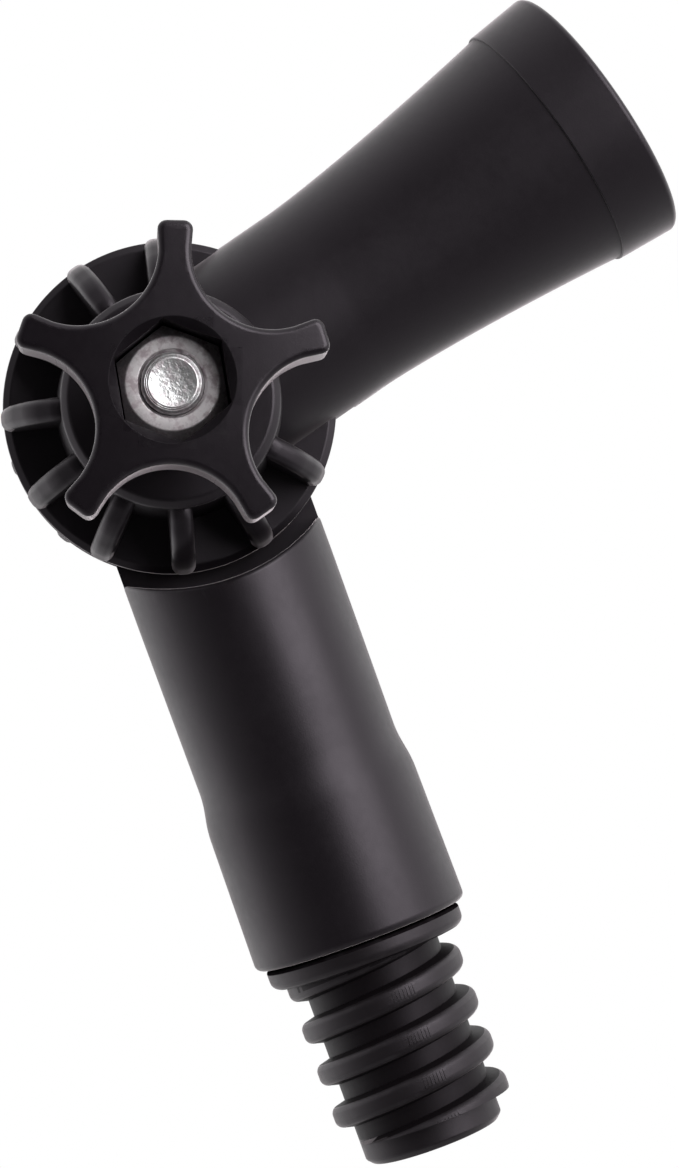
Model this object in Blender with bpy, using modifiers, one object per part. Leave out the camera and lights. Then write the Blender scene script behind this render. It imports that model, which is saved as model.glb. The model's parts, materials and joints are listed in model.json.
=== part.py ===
"""Angle adapter for a threaded pole, one named solid for each piece.

A flared socket arm and a threaded arm meet at toothed discs, and a star knob clamps them on a through bolt.
Metres, +Z up. The origin is the centre of the socket's mouth, the pivot axis runs along Y and the knob faces -Y.
An arm is drawn in its own frame: Z runs from the pivot along the arm and Y is the pivot axis. "Out" is a distance
from the plane between the discs, towards the arm's own hub.
"""

import math

import bmesh
import bpy
from mathutils import Matrix, Vector

MM = 0.001
PART_NAME = "pole_angle_adapter"
MERGE = 1e-5
GAP = 0.3 * MM  # air between pieces that touch on the real object

# The two arms
PIVOT_TO_MOUTH = 70.8 * MM
REST_BEND_DEG = 75.0
TUBE_R = 14.0 * MM
ARC_CLEARANCE = 2.3 * MM  # between a disc's edge and the other arm's tube

# Joint discs, hubs and ribs
DISC_R = 22.3 * MM
DISC_THICKNESS = 2.0 * MM
HUB_FOOT_R = 15.2 * MM
HUB_TOP_R = 14.4 * MM
HUB_CHAMFER = 0.8 * MM
HUB_OUT = 16.3 * MM
RIB_PLACES = 12
RIB_WIDTH = 3.2 * MM
RIB_RIM_RISE = 5.0 * MM
RIB_BELOW_HUB = 2.0 * MM
RIB_ROUND = 1.1 * MM

# Face teeth, open by TOOTH_OPENING at rest because the knob is slack
TOOTH_COUNT = 24
TOOTH_HEIGHT = 1.1 * MM
TOOTH_OPENING = 0.3 * MM
TOOTH_INNER_R = 13.0 * MM
TOOTH_OUTER_R = 20.6 * MM
TOOTH_ROOT_HALF_DEG = 4.9
TOOTH_CREST_HALF_DEG = 2.0

# Socket
SOCKET_NECK = 26.0 * MM  # where the flare starts, from the pivot
SOCKET_FLARE_POWER = 1.4
BAND_LENGTH = 8.7 * MM
BAND_STEP = 0.3 * MM
BAND_R = 18.0 * MM  # at the band's inner end
MOUTH_R = 18.75 * MM
RIM_ROUND = 0.9 * MM
MOUTH_WALL = 2.2 * MM
LEAD_IN_DEPTH = 14.5 * MM
SOCKET_THREAD_END = 28.5 * MM  # from the pivot
THREAD_CLEARANCE = 0.3 * MM

# Sleeve of the threaded arm
SLEEVE_WAIST_R = 13.85 * MM
SLEEVE_STEP_START = 52.0 * MM
SLEEVE_STEP_END = 56.0 * MM
SLEEVE_LOWER_R = 14.6 * MM
SLEEVE_END_R = 14.85 * MM
SLEEVE_END = 75.1 * MM
SLEEVE_END_ROUND = 0.5 * MM
SLEEVE_BORE_DEPTH = 30.0 * MM

# Threaded tip
SPIGOT_R = 10.4 * MM
SPIGOT_LENGTH = 24.0 * MM
SPIGOT_HOLE_R = 6.5 * MM
SPIGOT_HOLE_DEPTH = 46.0 * MM
COLLAR_R = 13.65 * MM
COLLAR_LENGTH = 2.85 * MM
COLLAR_ROUND = 0.8 * MM
THREAD_ROOT_R = 9.6 * MM
THREAD_CREST_R = 11.8 * MM
THREAD_PITCH = 5.95 * MM
THREAD_LENGTH = 24.6 * MM
THREAD_CREST_SHARE = 0.5  # of the pitch
THREAD_START_DEG = 289.0
TIP_PLAIN_R = 9.6 * MM
TIP_PLAIN_LENGTH = 1.5 * MM
TIP_CHAMFER = 0.8 * MM

# Bolt, nut, washer and spring
BOLT_R = 3.95 * MM
BOLT_SEAT_OUT = 8.1 * MM  # seat of the head in the rear hub
BOLT_LENGTH = 45.0 * MM
BOLT_CHAMFER = 0.8 * MM
HEX_ACROSS_FLATS = 13.0 * MM
HEX_CORNER_CUT = 0.75 * MM  # how far the end chamfer comes in from the corners
HEX_CHAMFER_DROP = 0.45 * MM
HEX_CLEARANCE = 0.25 * MM
HEAD_HEIGHT = 5.3 * MM
NUT_HEIGHT = 6.5 * MM
WASHER_R = 8.0 * MM
WASHER_THICKNESS = 1.6 * MM
SPRING_POCKET_R = 7.4 * MM
SPRING_POCKET_OUT = 5.0 * MM
SPRING_R = 6.0 * MM
SPRING_WIRE_R = 0.6 * MM
SPRING_TURNS = 4
SPRING_POINTS_PER_TURN = 14

# Star knob
KNOB_LOBES = 5
KNOB_FIRST_LOBE_DEG = -35.8  # from +X towards +Z, as are the nut pocket's corners
KNOB_R = 20.0 * MM
KNOB_TOP_OUT = 40.6 * MM
KNOB_STAR_HEIGHT = 10.0 * MM
KNOB_EDGE_ROUND = 1.1 * MM
KNOB_STEM_R = 9.5 * MM
SCALLOP_CENTRE_R = 20.4 * MM
LOBE_NECK_HALF = 2.05 * MM
LOBE_TIP_HALF = 2.3 * MM
LOBE_TIP_ROUND = 0.7 * MM
NUT_DEPTH = 5.1 * MM  # the nut's top face below the knob's top
COUNTERSINK_R = 8.1 * MM
COUNTERSINK_DEPTH = 2.0 * MM
POCKET_FIRST_CORNER_DEG = 34.5

# Facets round a circle
TUBE_STEPS = 44
DISC_STEPS = 60
SMALL_STEPS = 28
THREAD_STEPS = 28
ARC_STEPS = 8

# Worked out from the sizes above
TOOTH_ROOT_OUT = TOOTH_OPENING / 2 + TOOTH_HEIGHT
DISC_OUT = TOOTH_ROOT_OUT + DISC_THICKNESS
ARC_R = DISC_R + ARC_CLEARANCE
BORE_R = BOLT_R + GAP
COLLAR_START = SLEEVE_END + GAP
THREAD_START = COLLAR_START + COLLAR_LENGTH
TIP_END = THREAD_START + THREAD_LENGTH + TIP_PLAIN_LENGTH
SLEEVE_BORE_R = SPIGOT_R + GAP
PIVOT = Matrix.Translation((0, 0, PIVOT_TO_MOUTH))
SOCKET_FRAME = PIVOT @ Matrix.Rotation(math.pi, 4, "Y")
THREAD_FRAME = PIVOT @ Matrix.Rotation(math.radians(-REST_BEND_DEG), 4, "Y")
FRONT, REAR = -1, 1  # the side of the plane y = 0 on which an arm's hub lies

for old in list(bpy.data.objects):
    bpy.data.objects.remove(old)
PARTS = bpy.data.collections.new(PART_NAME)
CUTTERS = bpy.data.collections.new(PART_NAME + "_cutters")
for group in (PARTS, CUTTERS):
    bpy.context.scene.collection.children.link(group)


# Building blocks


def out_frame(side):
    """Turns local Z to point out along the pivot axis on the side given, and local X along the arm."""
    return Matrix(((0, side, 0, 0), (0, 0, side, 0), (1, 0, 0, 0), (0, 0, 0, 1)))


def polar(radius, degrees):
    angle = math.radians(degrees)
    return radius * math.cos(angle), radius * math.sin(angle)


def mesh_object(name, bm, frame):
    mesh = bpy.data.meshes.new(name)
    bm.to_mesh(mesh)
    bm.free()
    obj = bpy.data.objects.new(name, mesh)
    obj.matrix_world = frame
    CUTTERS.objects.link(obj)
    obj.hide_render = True
    obj.display_type = "WIRE"
    return obj


def turned(name, profile, steps, frame, ring=False):
    """A solid turned about local Z. The profile is (radius, height) down the outer side; a ring's one is closed."""
    bm = bmesh.new()
    verts = [bm.verts.new((radius, 0, height)) for radius, height in profile]
    ends = verts[1:] + (verts[:1] if ring else [])
    for start, end in zip(verts, ends):
        bm.edges.new((start, end))
    obj = mesh_object(name, bm, frame)
    screw = obj.modifiers.new("turn", "SCREW")
    screw.steps = screw.render_steps = steps
    screw.use_merge_vertices = True
    screw.merge_threshold = MERGE
    return obj


def cylinder(name, radius, low, high, steps, frame):
    return turned(name, [(0, high), (radius, high), (radius, low), (0, low)], steps, frame)


def raise_outline(outline, height):
    """A bmesh prism: the outline in XY, raised along Z."""
    bm = bmesh.new()
    face = bm.faces.new([bm.verts.new((x, y, 0)) for x, y in outline])
    raised = bmesh.ops.extrude_face_region(bm, geom=[face])["geom"]
    tops = [item for item in raised if isinstance(item, bmesh.types.BMVert)]
    bmesh.ops.translate(bm, verts=tops, vec=(0, 0, height))
    bmesh.ops.recalc_face_normals(bm, faces=bm.faces)
    return bm


def hexagon(across_flats, first_corner_deg):
    radius = across_flats / math.sqrt(3)
    return [polar(radius, first_corner_deg + 60 * corner) for corner in range(6)]


def copies(bm, frames):
    """One bmesh that holds the shape once for each frame."""
    shape = bpy.data.meshes.new("shape")
    bm.to_mesh(shape)
    bm.free()
    everything = bmesh.new()
    for frame in frames:
        before = len(everything.verts)
        everything.from_mesh(shape)
        everything.verts.ensure_lookup_table()
        bmesh.ops.transform(everything, matrix=frame, verts=everything.verts[before:])
    bpy.data.meshes.remove(shape)
    return everything


def boolean(obj, operation, other):
    modifier = obj.modifiers.new(operation.lower() + "_" + other.name, "BOOLEAN")
    modifier.operation = operation
    modifier.solver = "EXACT"
    modifier.object = other


def thread_body(name, root_r, crest_r, low, high, frame, run_out):
    """A round bar with a right-hand thread, cut square at both ends. With run_out the ridge fades in and out."""
    crest = THREAD_CREST_SHARE * THREAD_PITCH
    section = [(-0.5, 0.0), (-0.46, 0.55), (-0.28, 1.0), (0.28, 1.0), (0.46, 0.55), (0.5, 0.0)]
    points = [(root_r + rise * (crest_r - root_r), along * crest) for along, rise in section]
    points.append((root_r, THREAD_PITCH - crest / 2))
    turns = math.ceil((high - low) / THREAD_PITCH) + 2
    bm = bmesh.new()
    start = low - THREAD_PITCH
    verts = [bm.verts.new((radius, 0, start + along)) for radius, along in points]
    edges = [bm.edges.new(pair) for pair in zip(verts, verts[1:])]
    bmesh.ops.rotate(bm, verts=verts, matrix=Matrix.Rotation(math.radians(THREAD_START_DEG), 3, "Z"))
    steps = turns * THREAD_STEPS
    rise = (0, 0, THREAD_PITCH / THREAD_STEPS)
    bmesh.ops.spin(bm, geom=verts + edges, axis=(0, 0, 1), cent=(0, 0, 0), dvec=rise,
                   angle=math.tau * turns, steps=steps)
    bmesh.ops.remove_doubles(bm, verts=bm.verts, dist=MERGE)
    for height, up in ((low, -1), (high, 1)):
        everything = list(bm.verts) + list(bm.edges) + list(bm.faces)
        bmesh.ops.bisect_plane(bm, geom=everything, dist=MERGE, plane_co=(0, 0, height),
                               plane_no=(0, 0, up), clear_outer=True)
    if run_out:
        fade_length = THREAD_PITCH / 3
        for vert in bm.verts:
            fade = min((vert.co.z - low) / fade_length, (high - vert.co.z) / fade_length, 1)
            radius = vert.co.xy.length
            faded = root_r + (radius - root_r) * max(fade, 0) ** 0.5
            vert.co.xy *= faded / radius
    bmesh.ops.holes_fill(bm, edges=[edge for edge in bm.edges if edge.is_boundary])
    bmesh.ops.recalc_face_normals(bm, faces=bm.faces)
    return mesh_object(name, bm, frame)


def hex_piece(name, low, high, corner_deg, frame, chamfer_low):
    """A hexagonal bar across the flats of the fastener, with its end chamfers."""
    piece = mesh_object(name, raise_outline(hexagon(HEX_ACROSS_FLATS, corner_deg), high - low),
                        frame @ Matrix.Translation((0, 0, low)))
    corner_r = HEX_ACROSS_FLATS / math.sqrt(3)
    wide, narrow = corner_r + HEX_CORNER_CUT, corner_r - HEX_CORNER_CUT
    drop = 2 * HEX_CHAMFER_DROP
    profile = [(0, high), (narrow, high), (wide, high - drop)]
    profile += [(wide, low + drop), (narrow, low), (0, low)] if chamfer_low else [(wide, low - drop), (0, low - drop)]
    boolean(piece, "INTERSECT", turned(name + "_chamfer", profile, TUBE_STEPS, frame))
    return piece


# The arms


def knuckle_body(name, side, frame):
    """An arm's disc and hub as one turned solid."""
    profile = [
        (0, HUB_OUT),
        (HUB_TOP_R - HUB_CHAMFER, HUB_OUT),
        (HUB_TOP_R, HUB_OUT - HUB_CHAMFER),
        (HUB_FOOT_R, DISC_OUT),
        (DISC_R, DISC_OUT),
        (DISC_R, TOOTH_ROOT_OUT),
        (0, TOOTH_ROOT_OUT),
    ]
    return turned(name, profile, DISC_STEPS, frame @ out_frame(side))


def ribs(name, side, frame):
    """The radial ribs between hub and rim, left out where the arm's own tube takes their place."""
    outer = DISC_R
    inner = HUB_TOP_R - RIB_WIDTH
    rim_top = DISC_OUT + RIB_RIM_RISE
    hub_top = HUB_OUT - RIB_BELOW_HUB
    middle = (outer + HUB_FOOT_R) / 2
    outline = [
        (inner, DISC_OUT - DISC_THICKNESS / 2),
        (outer - GAP, DISC_OUT - DISC_THICKNESS / 2),
        (outer + GAP, DISC_OUT + RIB_ROUND),
        (outer - RIB_ROUND / 2, rim_top),
        (middle, (rim_top + hub_top) / 2 + RIB_ROUND),
        (HUB_FOOT_R, hub_top),
        (inner, hub_top),
    ]
    bm = raise_outline(outline, RIB_WIDTH)
    crest = [edge for edge in bm.edges if min(v.co.y for v in edge.verts) > DISC_OUT
             and edge.verts[0].co.z == edge.verts[1].co.z and min(v.co.x for v in edge.verts) >= inner
             and max(v.co.x for v in edge.verts) > HUB_TOP_R]
    bmesh.ops.bevel(bm, geom=crest, offset=RIB_ROUND, segments=2, profile=0.5, affect="EDGES")
    bmesh.ops.translate(bm, verts=bm.verts, vec=(0, 0, -RIB_WIDTH / 2))
    upright = out_frame(side) @ Matrix(((1, 0, 0, 0), (0, 0, -1, 0), (0, 1, 0, 0), (0, 0, 0, 1)))
    spacing = math.tau / RIB_PLACES
    places = range(2, RIB_PLACES - 1)
    frames = [Matrix.Rotation(place * spacing, 4, "Y") @ upright for place in places]
    return mesh_object(name, copies(bm, frames), frame)


def teeth(name, side, frame, phase_deg):
    """The ring of face teeth, from the root plane towards the other disc."""
    bm = bmesh.new()
    bmesh.ops.create_cube(bm, size=2)
    for vert in bm.verts:
        crest = vert.co.z > 0
        half = TOOTH_CREST_HALF_DEG if crest else TOOTH_ROOT_HALF_DEG
        radius = TOOTH_OUTER_R if vert.co.x > 0 else TOOTH_INNER_R
        height = TOOTH_OPENING / 2 if crest else TOOTH_ROOT_OUT + GAP
        vert.co = (*polar(radius, half * vert.co.y), height)
    bm.normal_update()
    bmesh.ops.recalc_face_normals(bm, faces=bm.faces)
    pitch = 360 / TOOTH_COUNT
    frames = [out_frame(side) @ Matrix.Rotation(math.radians(phase_deg + pitch * tooth), 4, "Z")
              for tooth in range(TOOTH_COUNT)]
    return mesh_object(name, copies(bm, frames), frame)


def bolt_passage(name, side, frame):
    """Bolt hole and spring pocket in one stepped cutter."""
    profile = [
        (0, HUB_OUT + MM),
        (BORE_R, HUB_OUT + MM),
        (BORE_R, SPRING_POCKET_OUT),
        (SPRING_POCKET_R, SPRING_POCKET_OUT),
        (SPRING_POCKET_R, -MM),
        (0, -MM),
    ]
    return turned(name, profile, SMALL_STEPS, frame @ out_frame(side))


def arm(name, tube, side, frame, tooth_phase_deg):
    """Joins an arm's tube to its disc, hub, ribs and teeth. The tube keeps clear of the other arm's disc."""
    clear = cylinder(name + "_disc_room", ARC_R, -2 * ARC_R, TOOTH_ROOT_OUT, DISC_STEPS, frame @ out_frame(side))
    boolean(tube, "DIFFERENCE", clear)
    piece = knuckle_body(name, side, frame)
    boolean(piece, "UNION", tube)
    boolean(piece, "UNION", ribs(name + "_ribs", side, frame))
    boolean(piece, "UNION", teeth(name + "_teeth", side, frame, tooth_phase_deg))
    boolean(piece, "DIFFERENCE", bolt_passage(name + "_passage", side, frame))
    return piece


def socket_radius(along):
    """The socket's outer radius in front of the band: straight at the neck, then flaring."""
    band_start = PIVOT_TO_MOUTH - BAND_LENGTH
    share = max(0, (along - SOCKET_NECK) / (band_start - SOCKET_NECK))
    return TUBE_R + (BAND_R - BAND_STEP - TUBE_R) * share ** SOCKET_FLARE_POWER


def make_socket_arm():
    band_start = PIVOT_TO_MOUTH - BAND_LENGTH
    rings = 7
    flare = [SOCKET_NECK + (band_start - SOCKET_NECK) * ring / rings for ring in range(rings, -1, -1)]
    profile = [
        (0, PIVOT_TO_MOUTH),
        (MOUTH_R - RIM_ROUND, PIVOT_TO_MOUTH),
        (MOUTH_R, PIVOT_TO_MOUTH - RIM_ROUND),
        (BAND_R, band_start),
        *[(socket_radius(along), along) for along in flare],
        (TUBE_R, 0),
        (0, 0),
    ]
    tube = turned("socket_tube", profile, TUBE_STEPS, SOCKET_FRAME)
    thread_top = PIVOT_TO_MOUTH - LEAD_IN_DEPTH
    minor_r = THREAD_ROOT_R + THREAD_CLEARANCE
    major_r = THREAD_CREST_R + THREAD_CLEARANCE
    lead_in = [
        (0, PIVOT_TO_MOUTH + MM),
        (MOUTH_R - MOUTH_WALL, PIVOT_TO_MOUTH + MM),
        (MOUTH_R - MOUTH_WALL, PIVOT_TO_MOUTH - MM),
        (major_r + GAP, thread_top),
        (minor_r, thread_top - MM),
        (0, thread_top - MM),
    ]
    boolean(tube, "DIFFERENCE", turned("pole_lead_in", lead_in, TUBE_STEPS, SOCKET_FRAME))
    hole = thread_body("pole_thread", minor_r, major_r, SOCKET_THREAD_END, thread_top, SOCKET_FRAME, False)
    boolean(tube, "DIFFERENCE", hole)
    return arm("socket_arm", tube, FRONT, SOCKET_FRAME, 0)


def make_thread_arm():
    profile = [
        (0, SLEEVE_END),
        (SLEEVE_END_R - SLEEVE_END_ROUND, SLEEVE_END),
        (SLEEVE_END_R, SLEEVE_END - SLEEVE_END_ROUND),
        (SLEEVE_LOWER_R, SLEEVE_STEP_END),
        (SLEEVE_WAIST_R, SLEEVE_STEP_START),
        (TUBE_R, ARC_R),
        (TUBE_R, 0),
        (0, 0),
    ]
    sleeve = turned("sleeve", profile, TUBE_STEPS, THREAD_FRAME)
    bore = cylinder("sleeve_bore", SLEEVE_BORE_R, SLEEVE_END - SLEEVE_BORE_DEPTH, SLEEVE_END + MM,
                    TUBE_STEPS, THREAD_FRAME)
    boolean(sleeve, "DIFFERENCE", bore)
    piece = arm("thread_arm", sleeve, REAR, THREAD_FRAME, 180 / TOOTH_COUNT + REST_BEND_DEG)
    pocket = raise_outline(hexagon(HEX_ACROSS_FLATS + 2 * HEX_CLEARANCE, 0), HUB_OUT)
    frame = THREAD_FRAME @ out_frame(REAR) @ Matrix.Translation((0, 0, BOLT_SEAT_OUT))
    boolean(piece, "DIFFERENCE", mesh_object("bolt_head_pocket", pocket, frame))
    return piece


def make_threaded_tip():
    core_r = THREAD_ROOT_R - GAP
    plain_start = THREAD_START + THREAD_LENGTH - GAP
    profile = [
        (0, TIP_END),
        (TIP_PLAIN_R - TIP_CHAMFER, TIP_END),
        (TIP_PLAIN_R, TIP_END - TIP_CHAMFER),
        (TIP_PLAIN_R, plain_start),
        (core_r, plain_start),
        (core_r, THREAD_START),
        (COLLAR_R - COLLAR_ROUND, THREAD_START),
        (COLLAR_R, THREAD_START - COLLAR_ROUND),
        (COLLAR_R, COLLAR_START),
        (SPIGOT_R, COLLAR_START),
        (SPIGOT_R, COLLAR_START - SPIGOT_LENGTH),
        (0, COLLAR_START - SPIGOT_LENGTH),
    ]
    piece = turned("threaded_tip", profile, TUBE_STEPS, THREAD_FRAME)
    ridge = thread_body("tip_thread", THREAD_ROOT_R, THREAD_CREST_R, THREAD_START - GAP,
                        THREAD_START + THREAD_LENGTH, THREAD_FRAME, True)
    boolean(piece, "UNION", ridge)
    hole = cylinder("spigot_hole", SPIGOT_HOLE_R, COLLAR_START - SPIGOT_LENGTH - MM,
                    COLLAR_START - SPIGOT_LENGTH + SPIGOT_HOLE_DEPTH, SMALL_STEPS, THREAD_FRAME)
    boolean(piece, "DIFFERENCE", hole)
    return piece


# Knob, fasteners and spring


def star_outline():
    """The knob seen from its top: round scallops that run into narrow lobes."""
    half_step = math.pi / KNOB_LOBES
    centre = SCALLOP_CENTRE_R
    scallop_r = centre * math.sin(half_step) - LOBE_NECK_HALF
    sweep = 90 - math.degrees(half_step)
    points = []
    for lobe in range(KNOB_LOBES):
        along = 360 * lobe / KNOB_LOBES
        tip = [(KNOB_R - LOBE_TIP_ROUND, -LOBE_TIP_HALF)]
        tip.append((KNOB_R, -LOBE_TIP_HALF + LOBE_TIP_ROUND))
        tip.append((KNOB_R, LOBE_TIP_HALF - LOBE_TIP_ROUND))
        tip.append((KNOB_R - LOBE_TIP_ROUND, LOBE_TIP_HALF))
        turn = Matrix.Rotation(math.radians(along), 2)
        points += [tuple(turn @ Vector(point)) for point in tip]
        between = along + math.degrees(half_step)
        middle_x, middle_y = polar(centre, between)
        for step in range(ARC_STEPS + 1):
            angle = between + 180 + sweep * (1 - 2 * step / ARC_STEPS)
            x, y = polar(scallop_r, angle)
            points.append((middle_x + x, middle_y + y))
    return points


def make_star_knob():
    frame = PIVOT @ out_frame(FRONT)
    spin = Matrix.Rotation(math.radians(KNOB_FIRST_LOBE_DEG - 90), 4, "Z")
    bm = raise_outline(star_outline(), KNOB_STAR_HEIGHT)
    top = [edge for edge in bm.edges if min(v.co.z for v in edge.verts) > KNOB_STAR_HEIGHT / 2]
    bmesh.ops.bevel(bm, geom=top, offset=KNOB_EDGE_ROUND, segments=2, profile=0.5, affect="EDGES")
    piece = mesh_object("star_knob", bm, frame @ spin @ Matrix.Translation((0, 0, KNOB_TOP_OUT - KNOB_STAR_HEIGHT)))
    stem_foot = HUB_OUT + WASHER_THICKNESS + 2 * GAP
    boolean(piece, "UNION", cylinder("knob_stem", KNOB_STEM_R, stem_foot, KNOB_TOP_OUT - KNOB_STAR_HEIGHT / 2,
                                     TUBE_STEPS, frame))
    boolean(piece, "DIFFERENCE", cylinder("knob_bore", BORE_R, 0, KNOB_TOP_OUT, SMALL_STEPS, frame))
    pocket = raise_outline(hexagon(HEX_ACROSS_FLATS + 2 * HEX_CLEARANCE, 0), KNOB_TOP_OUT)
    floor = KNOB_TOP_OUT - NUT_DEPTH - NUT_HEIGHT - GAP
    corner = Matrix.Rotation(math.radians(POCKET_FIRST_CORNER_DEG - 90), 4, "Z")
    boolean(piece, "DIFFERENCE", mesh_object("nut_pocket", pocket, frame @ corner @ Matrix.Translation((0, 0, floor))))
    flare = [
        (0, KNOB_TOP_OUT + COUNTERSINK_DEPTH),
        (2 * COUNTERSINK_R - HEX_ACROSS_FLATS / 2, KNOB_TOP_OUT + COUNTERSINK_DEPTH),
        (HEX_ACROSS_FLATS / 2, KNOB_TOP_OUT - COUNTERSINK_DEPTH),
        (0, KNOB_TOP_OUT - COUNTERSINK_DEPTH),
    ]
    boolean(piece, "DIFFERENCE", turned("knob_countersink", flare, TUBE_STEPS, frame))
    return piece


def make_hex_nut():
    frame = PIVOT @ out_frame(FRONT)
    high = KNOB_TOP_OUT - NUT_DEPTH
    piece = hex_piece("hex_nut", high - NUT_HEIGHT, high, POCKET_FIRST_CORNER_DEG - 90, frame, True)
    boolean(piece, "DIFFERENCE", cylinder("nut_bore", BORE_R, 0, KNOB_TOP_OUT, SMALL_STEPS, frame))
    return piece


def make_pivot_bolt():
    frame = THREAD_FRAME @ out_frame(REAR)
    seat = BOLT_SEAT_OUT + GAP
    piece = hex_piece("pivot_bolt", seat, seat + HEAD_HEIGHT, 0, frame, False)
    end = seat - BOLT_LENGTH
    shank = [
        (0, seat + HEAD_HEIGHT / 2),
        (BOLT_R, seat + HEAD_HEIGHT / 2),
        (BOLT_R, end + BOLT_CHAMFER),
        (BOLT_R - BOLT_CHAMFER, end),
        (0, end),
    ]
    boolean(piece, "UNION", turned("bolt_shank", shank, SMALL_STEPS, frame))
    return piece


def make_knob_washer():
    low = HUB_OUT + GAP
    high = low + WASHER_THICKNESS
    profile = [(BORE_R, high), (WASHER_R, high), (WASHER_R, low), (BORE_R, low)]
    return turned("knob_washer", profile, SMALL_STEPS, PIVOT @ out_frame(FRONT), ring=True)


def make_release_spring():
    """A coil whose end turns lie closed on the pocket floors."""
    reach = SPRING_POCKET_OUT - GAP - SPRING_WIRE_R
    count = SPRING_TURNS * SPRING_POINTS_PER_TURN
    curve = bpy.data.curves.new("release_spring", "CURVE")
    curve.dimensions = "3D"
    curve.bevel_depth = SPRING_WIRE_R
    curve.bevel_resolution = 2
    curve.use_fill_caps = True
    spline = curve.splines.new("POLY")
    spline.points.add(count)
    for step, point in enumerate(spline.points):
        share = step / count
        height = reach * math.sin(math.pi * (share - 0.5))
        x, y = polar(SPRING_R, 360 * SPRING_TURNS * share)
        point.co = (x, y, height, 1)
    coil = bpy.data.objects.new("release_spring", curve)
    coil.matrix_world = PIVOT @ out_frame(REAR)
    CUTTERS.objects.link(coil)
    return coil


MAKERS = [
    (make_socket_arm, "black_plastic", (0.012, 0.011, 0.012), 0.45, 0.0),
    (make_thread_arm, "black_plastic", (0.012, 0.011, 0.012), 0.45, 0.0),
    (make_threaded_tip, "thread_plastic", (0.010, 0.010, 0.010), 0.5, 0.0),
    (make_star_knob, "knob_plastic", (0.014, 0.013, 0.014), 0.4, 0.0),
    (make_hex_nut, "zinc_nut", (0.60, 0.57, 0.56), 0.35, 1.0),
    (make_pivot_bolt, "zinc_bolt", (0.66, 0.66, 0.65), 0.3, 1.0),
    (make_knob_washer, "zinc_washer", (0.60, 0.60, 0.60), 0.35, 1.0),
    (make_release_spring, "spring_steel", (0.35, 0.35, 0.36), 0.35, 1.0),
]


def give_material(obj, name, color, roughness, metallic):
    material = bpy.data.materials.get(name) or bpy.data.materials.new(name)
    material.use_nodes = True
    shader = material.node_tree.nodes["Principled BSDF"]
    shader.inputs["Base Color"].default_value = (*color, 1)
    shader.inputs["Roughness"].default_value = roughness
    shader.inputs["Metallic"].default_value = metallic
    obj.data.materials.append(material)


def show(obj):
    """Takes a finished piece out of the cutters and into the part."""
    CUTTERS.objects.unlink(obj)
    PARTS.objects.link(obj)
    obj.hide_render = False
    obj.display_type = "TEXTURED"


for make, material_name, color, roughness, metallic in MAKERS:
    made = make()
    give_material(made, material_name, color, roughness, metallic)
    show(made)
CUTTERS.hide_render = True
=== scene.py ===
"""Finished pieces, materials and studio for the pole angle adapter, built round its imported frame.

Metres, +Z up. An arm is drawn in its own frame: Z runs from the pivot along the arm and Y is the pivot axis.
"Out" is a distance from the plane between the two discs, towards the arm's own hub.
"""

import json
import math

import bmesh
import bpy
from bpy.props import FloatProperty, FloatVectorProperty, IntProperty, PointerProperty
from mathutils import Matrix, Vector


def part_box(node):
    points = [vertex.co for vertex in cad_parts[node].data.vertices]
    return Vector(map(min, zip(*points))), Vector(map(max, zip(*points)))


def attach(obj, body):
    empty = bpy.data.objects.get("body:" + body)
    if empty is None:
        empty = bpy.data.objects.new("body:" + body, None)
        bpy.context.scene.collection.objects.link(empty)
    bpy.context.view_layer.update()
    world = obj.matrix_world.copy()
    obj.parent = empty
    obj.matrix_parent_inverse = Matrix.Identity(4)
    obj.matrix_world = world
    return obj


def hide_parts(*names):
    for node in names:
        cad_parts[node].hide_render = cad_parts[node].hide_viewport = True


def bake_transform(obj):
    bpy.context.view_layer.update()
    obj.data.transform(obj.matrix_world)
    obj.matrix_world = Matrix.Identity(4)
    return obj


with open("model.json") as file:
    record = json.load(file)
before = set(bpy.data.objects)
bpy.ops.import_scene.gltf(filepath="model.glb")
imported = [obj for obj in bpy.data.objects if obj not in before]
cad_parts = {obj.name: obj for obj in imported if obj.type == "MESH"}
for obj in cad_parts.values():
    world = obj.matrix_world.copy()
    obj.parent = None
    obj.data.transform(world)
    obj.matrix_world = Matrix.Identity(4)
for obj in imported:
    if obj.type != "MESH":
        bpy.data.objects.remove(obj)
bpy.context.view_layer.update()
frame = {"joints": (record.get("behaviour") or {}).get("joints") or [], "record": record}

bl_info = {
    "name": "Pole Angle Adapter",
    "version": (1, 0, 0),
    "blender": (4, 5, 0),
    "location": "View3D > Sidebar > Adapter",
    "description": "Models the finished pieces of a pole angle adapter and its studio",
    "category": "Object",
}

MM = 0.001
WELD = 0.002 * MM
GAP = 0.3 * MM  # air between pieces that touch on the real object
ON_SURFACE = 0.03 * MM  # how far a faceted surface's points may lie from the true one
UPRIGHT = 0.25  # how far a wall's normal may lean along the pivot axis
SKIM = 0.01 * MM  # how far a cutter's lip stands over the face that it rounds
FRONT, REAR = -1, 1  # the side of the plane y = 0 on which an arm's hub lies

# Facets
TUBE_STEPS = 176
DISC_STEPS = 192
SMALL_STEPS = 64
THREAD_STEPS = 120
ARC_STEPS = 36
ROUND_SEGMENTS = 5
FLARE_RINGS = 24
DICE = 11  # cells from the star's axis to the end of a lobe
DICE_SHIFT = 0.31  # part of a cell by which the cuts miss the axis
SHARP_DEG = 33
TIGHT_BEND = 600  # turn in radians for each metre across a face, past which the face counts as an edge

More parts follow.
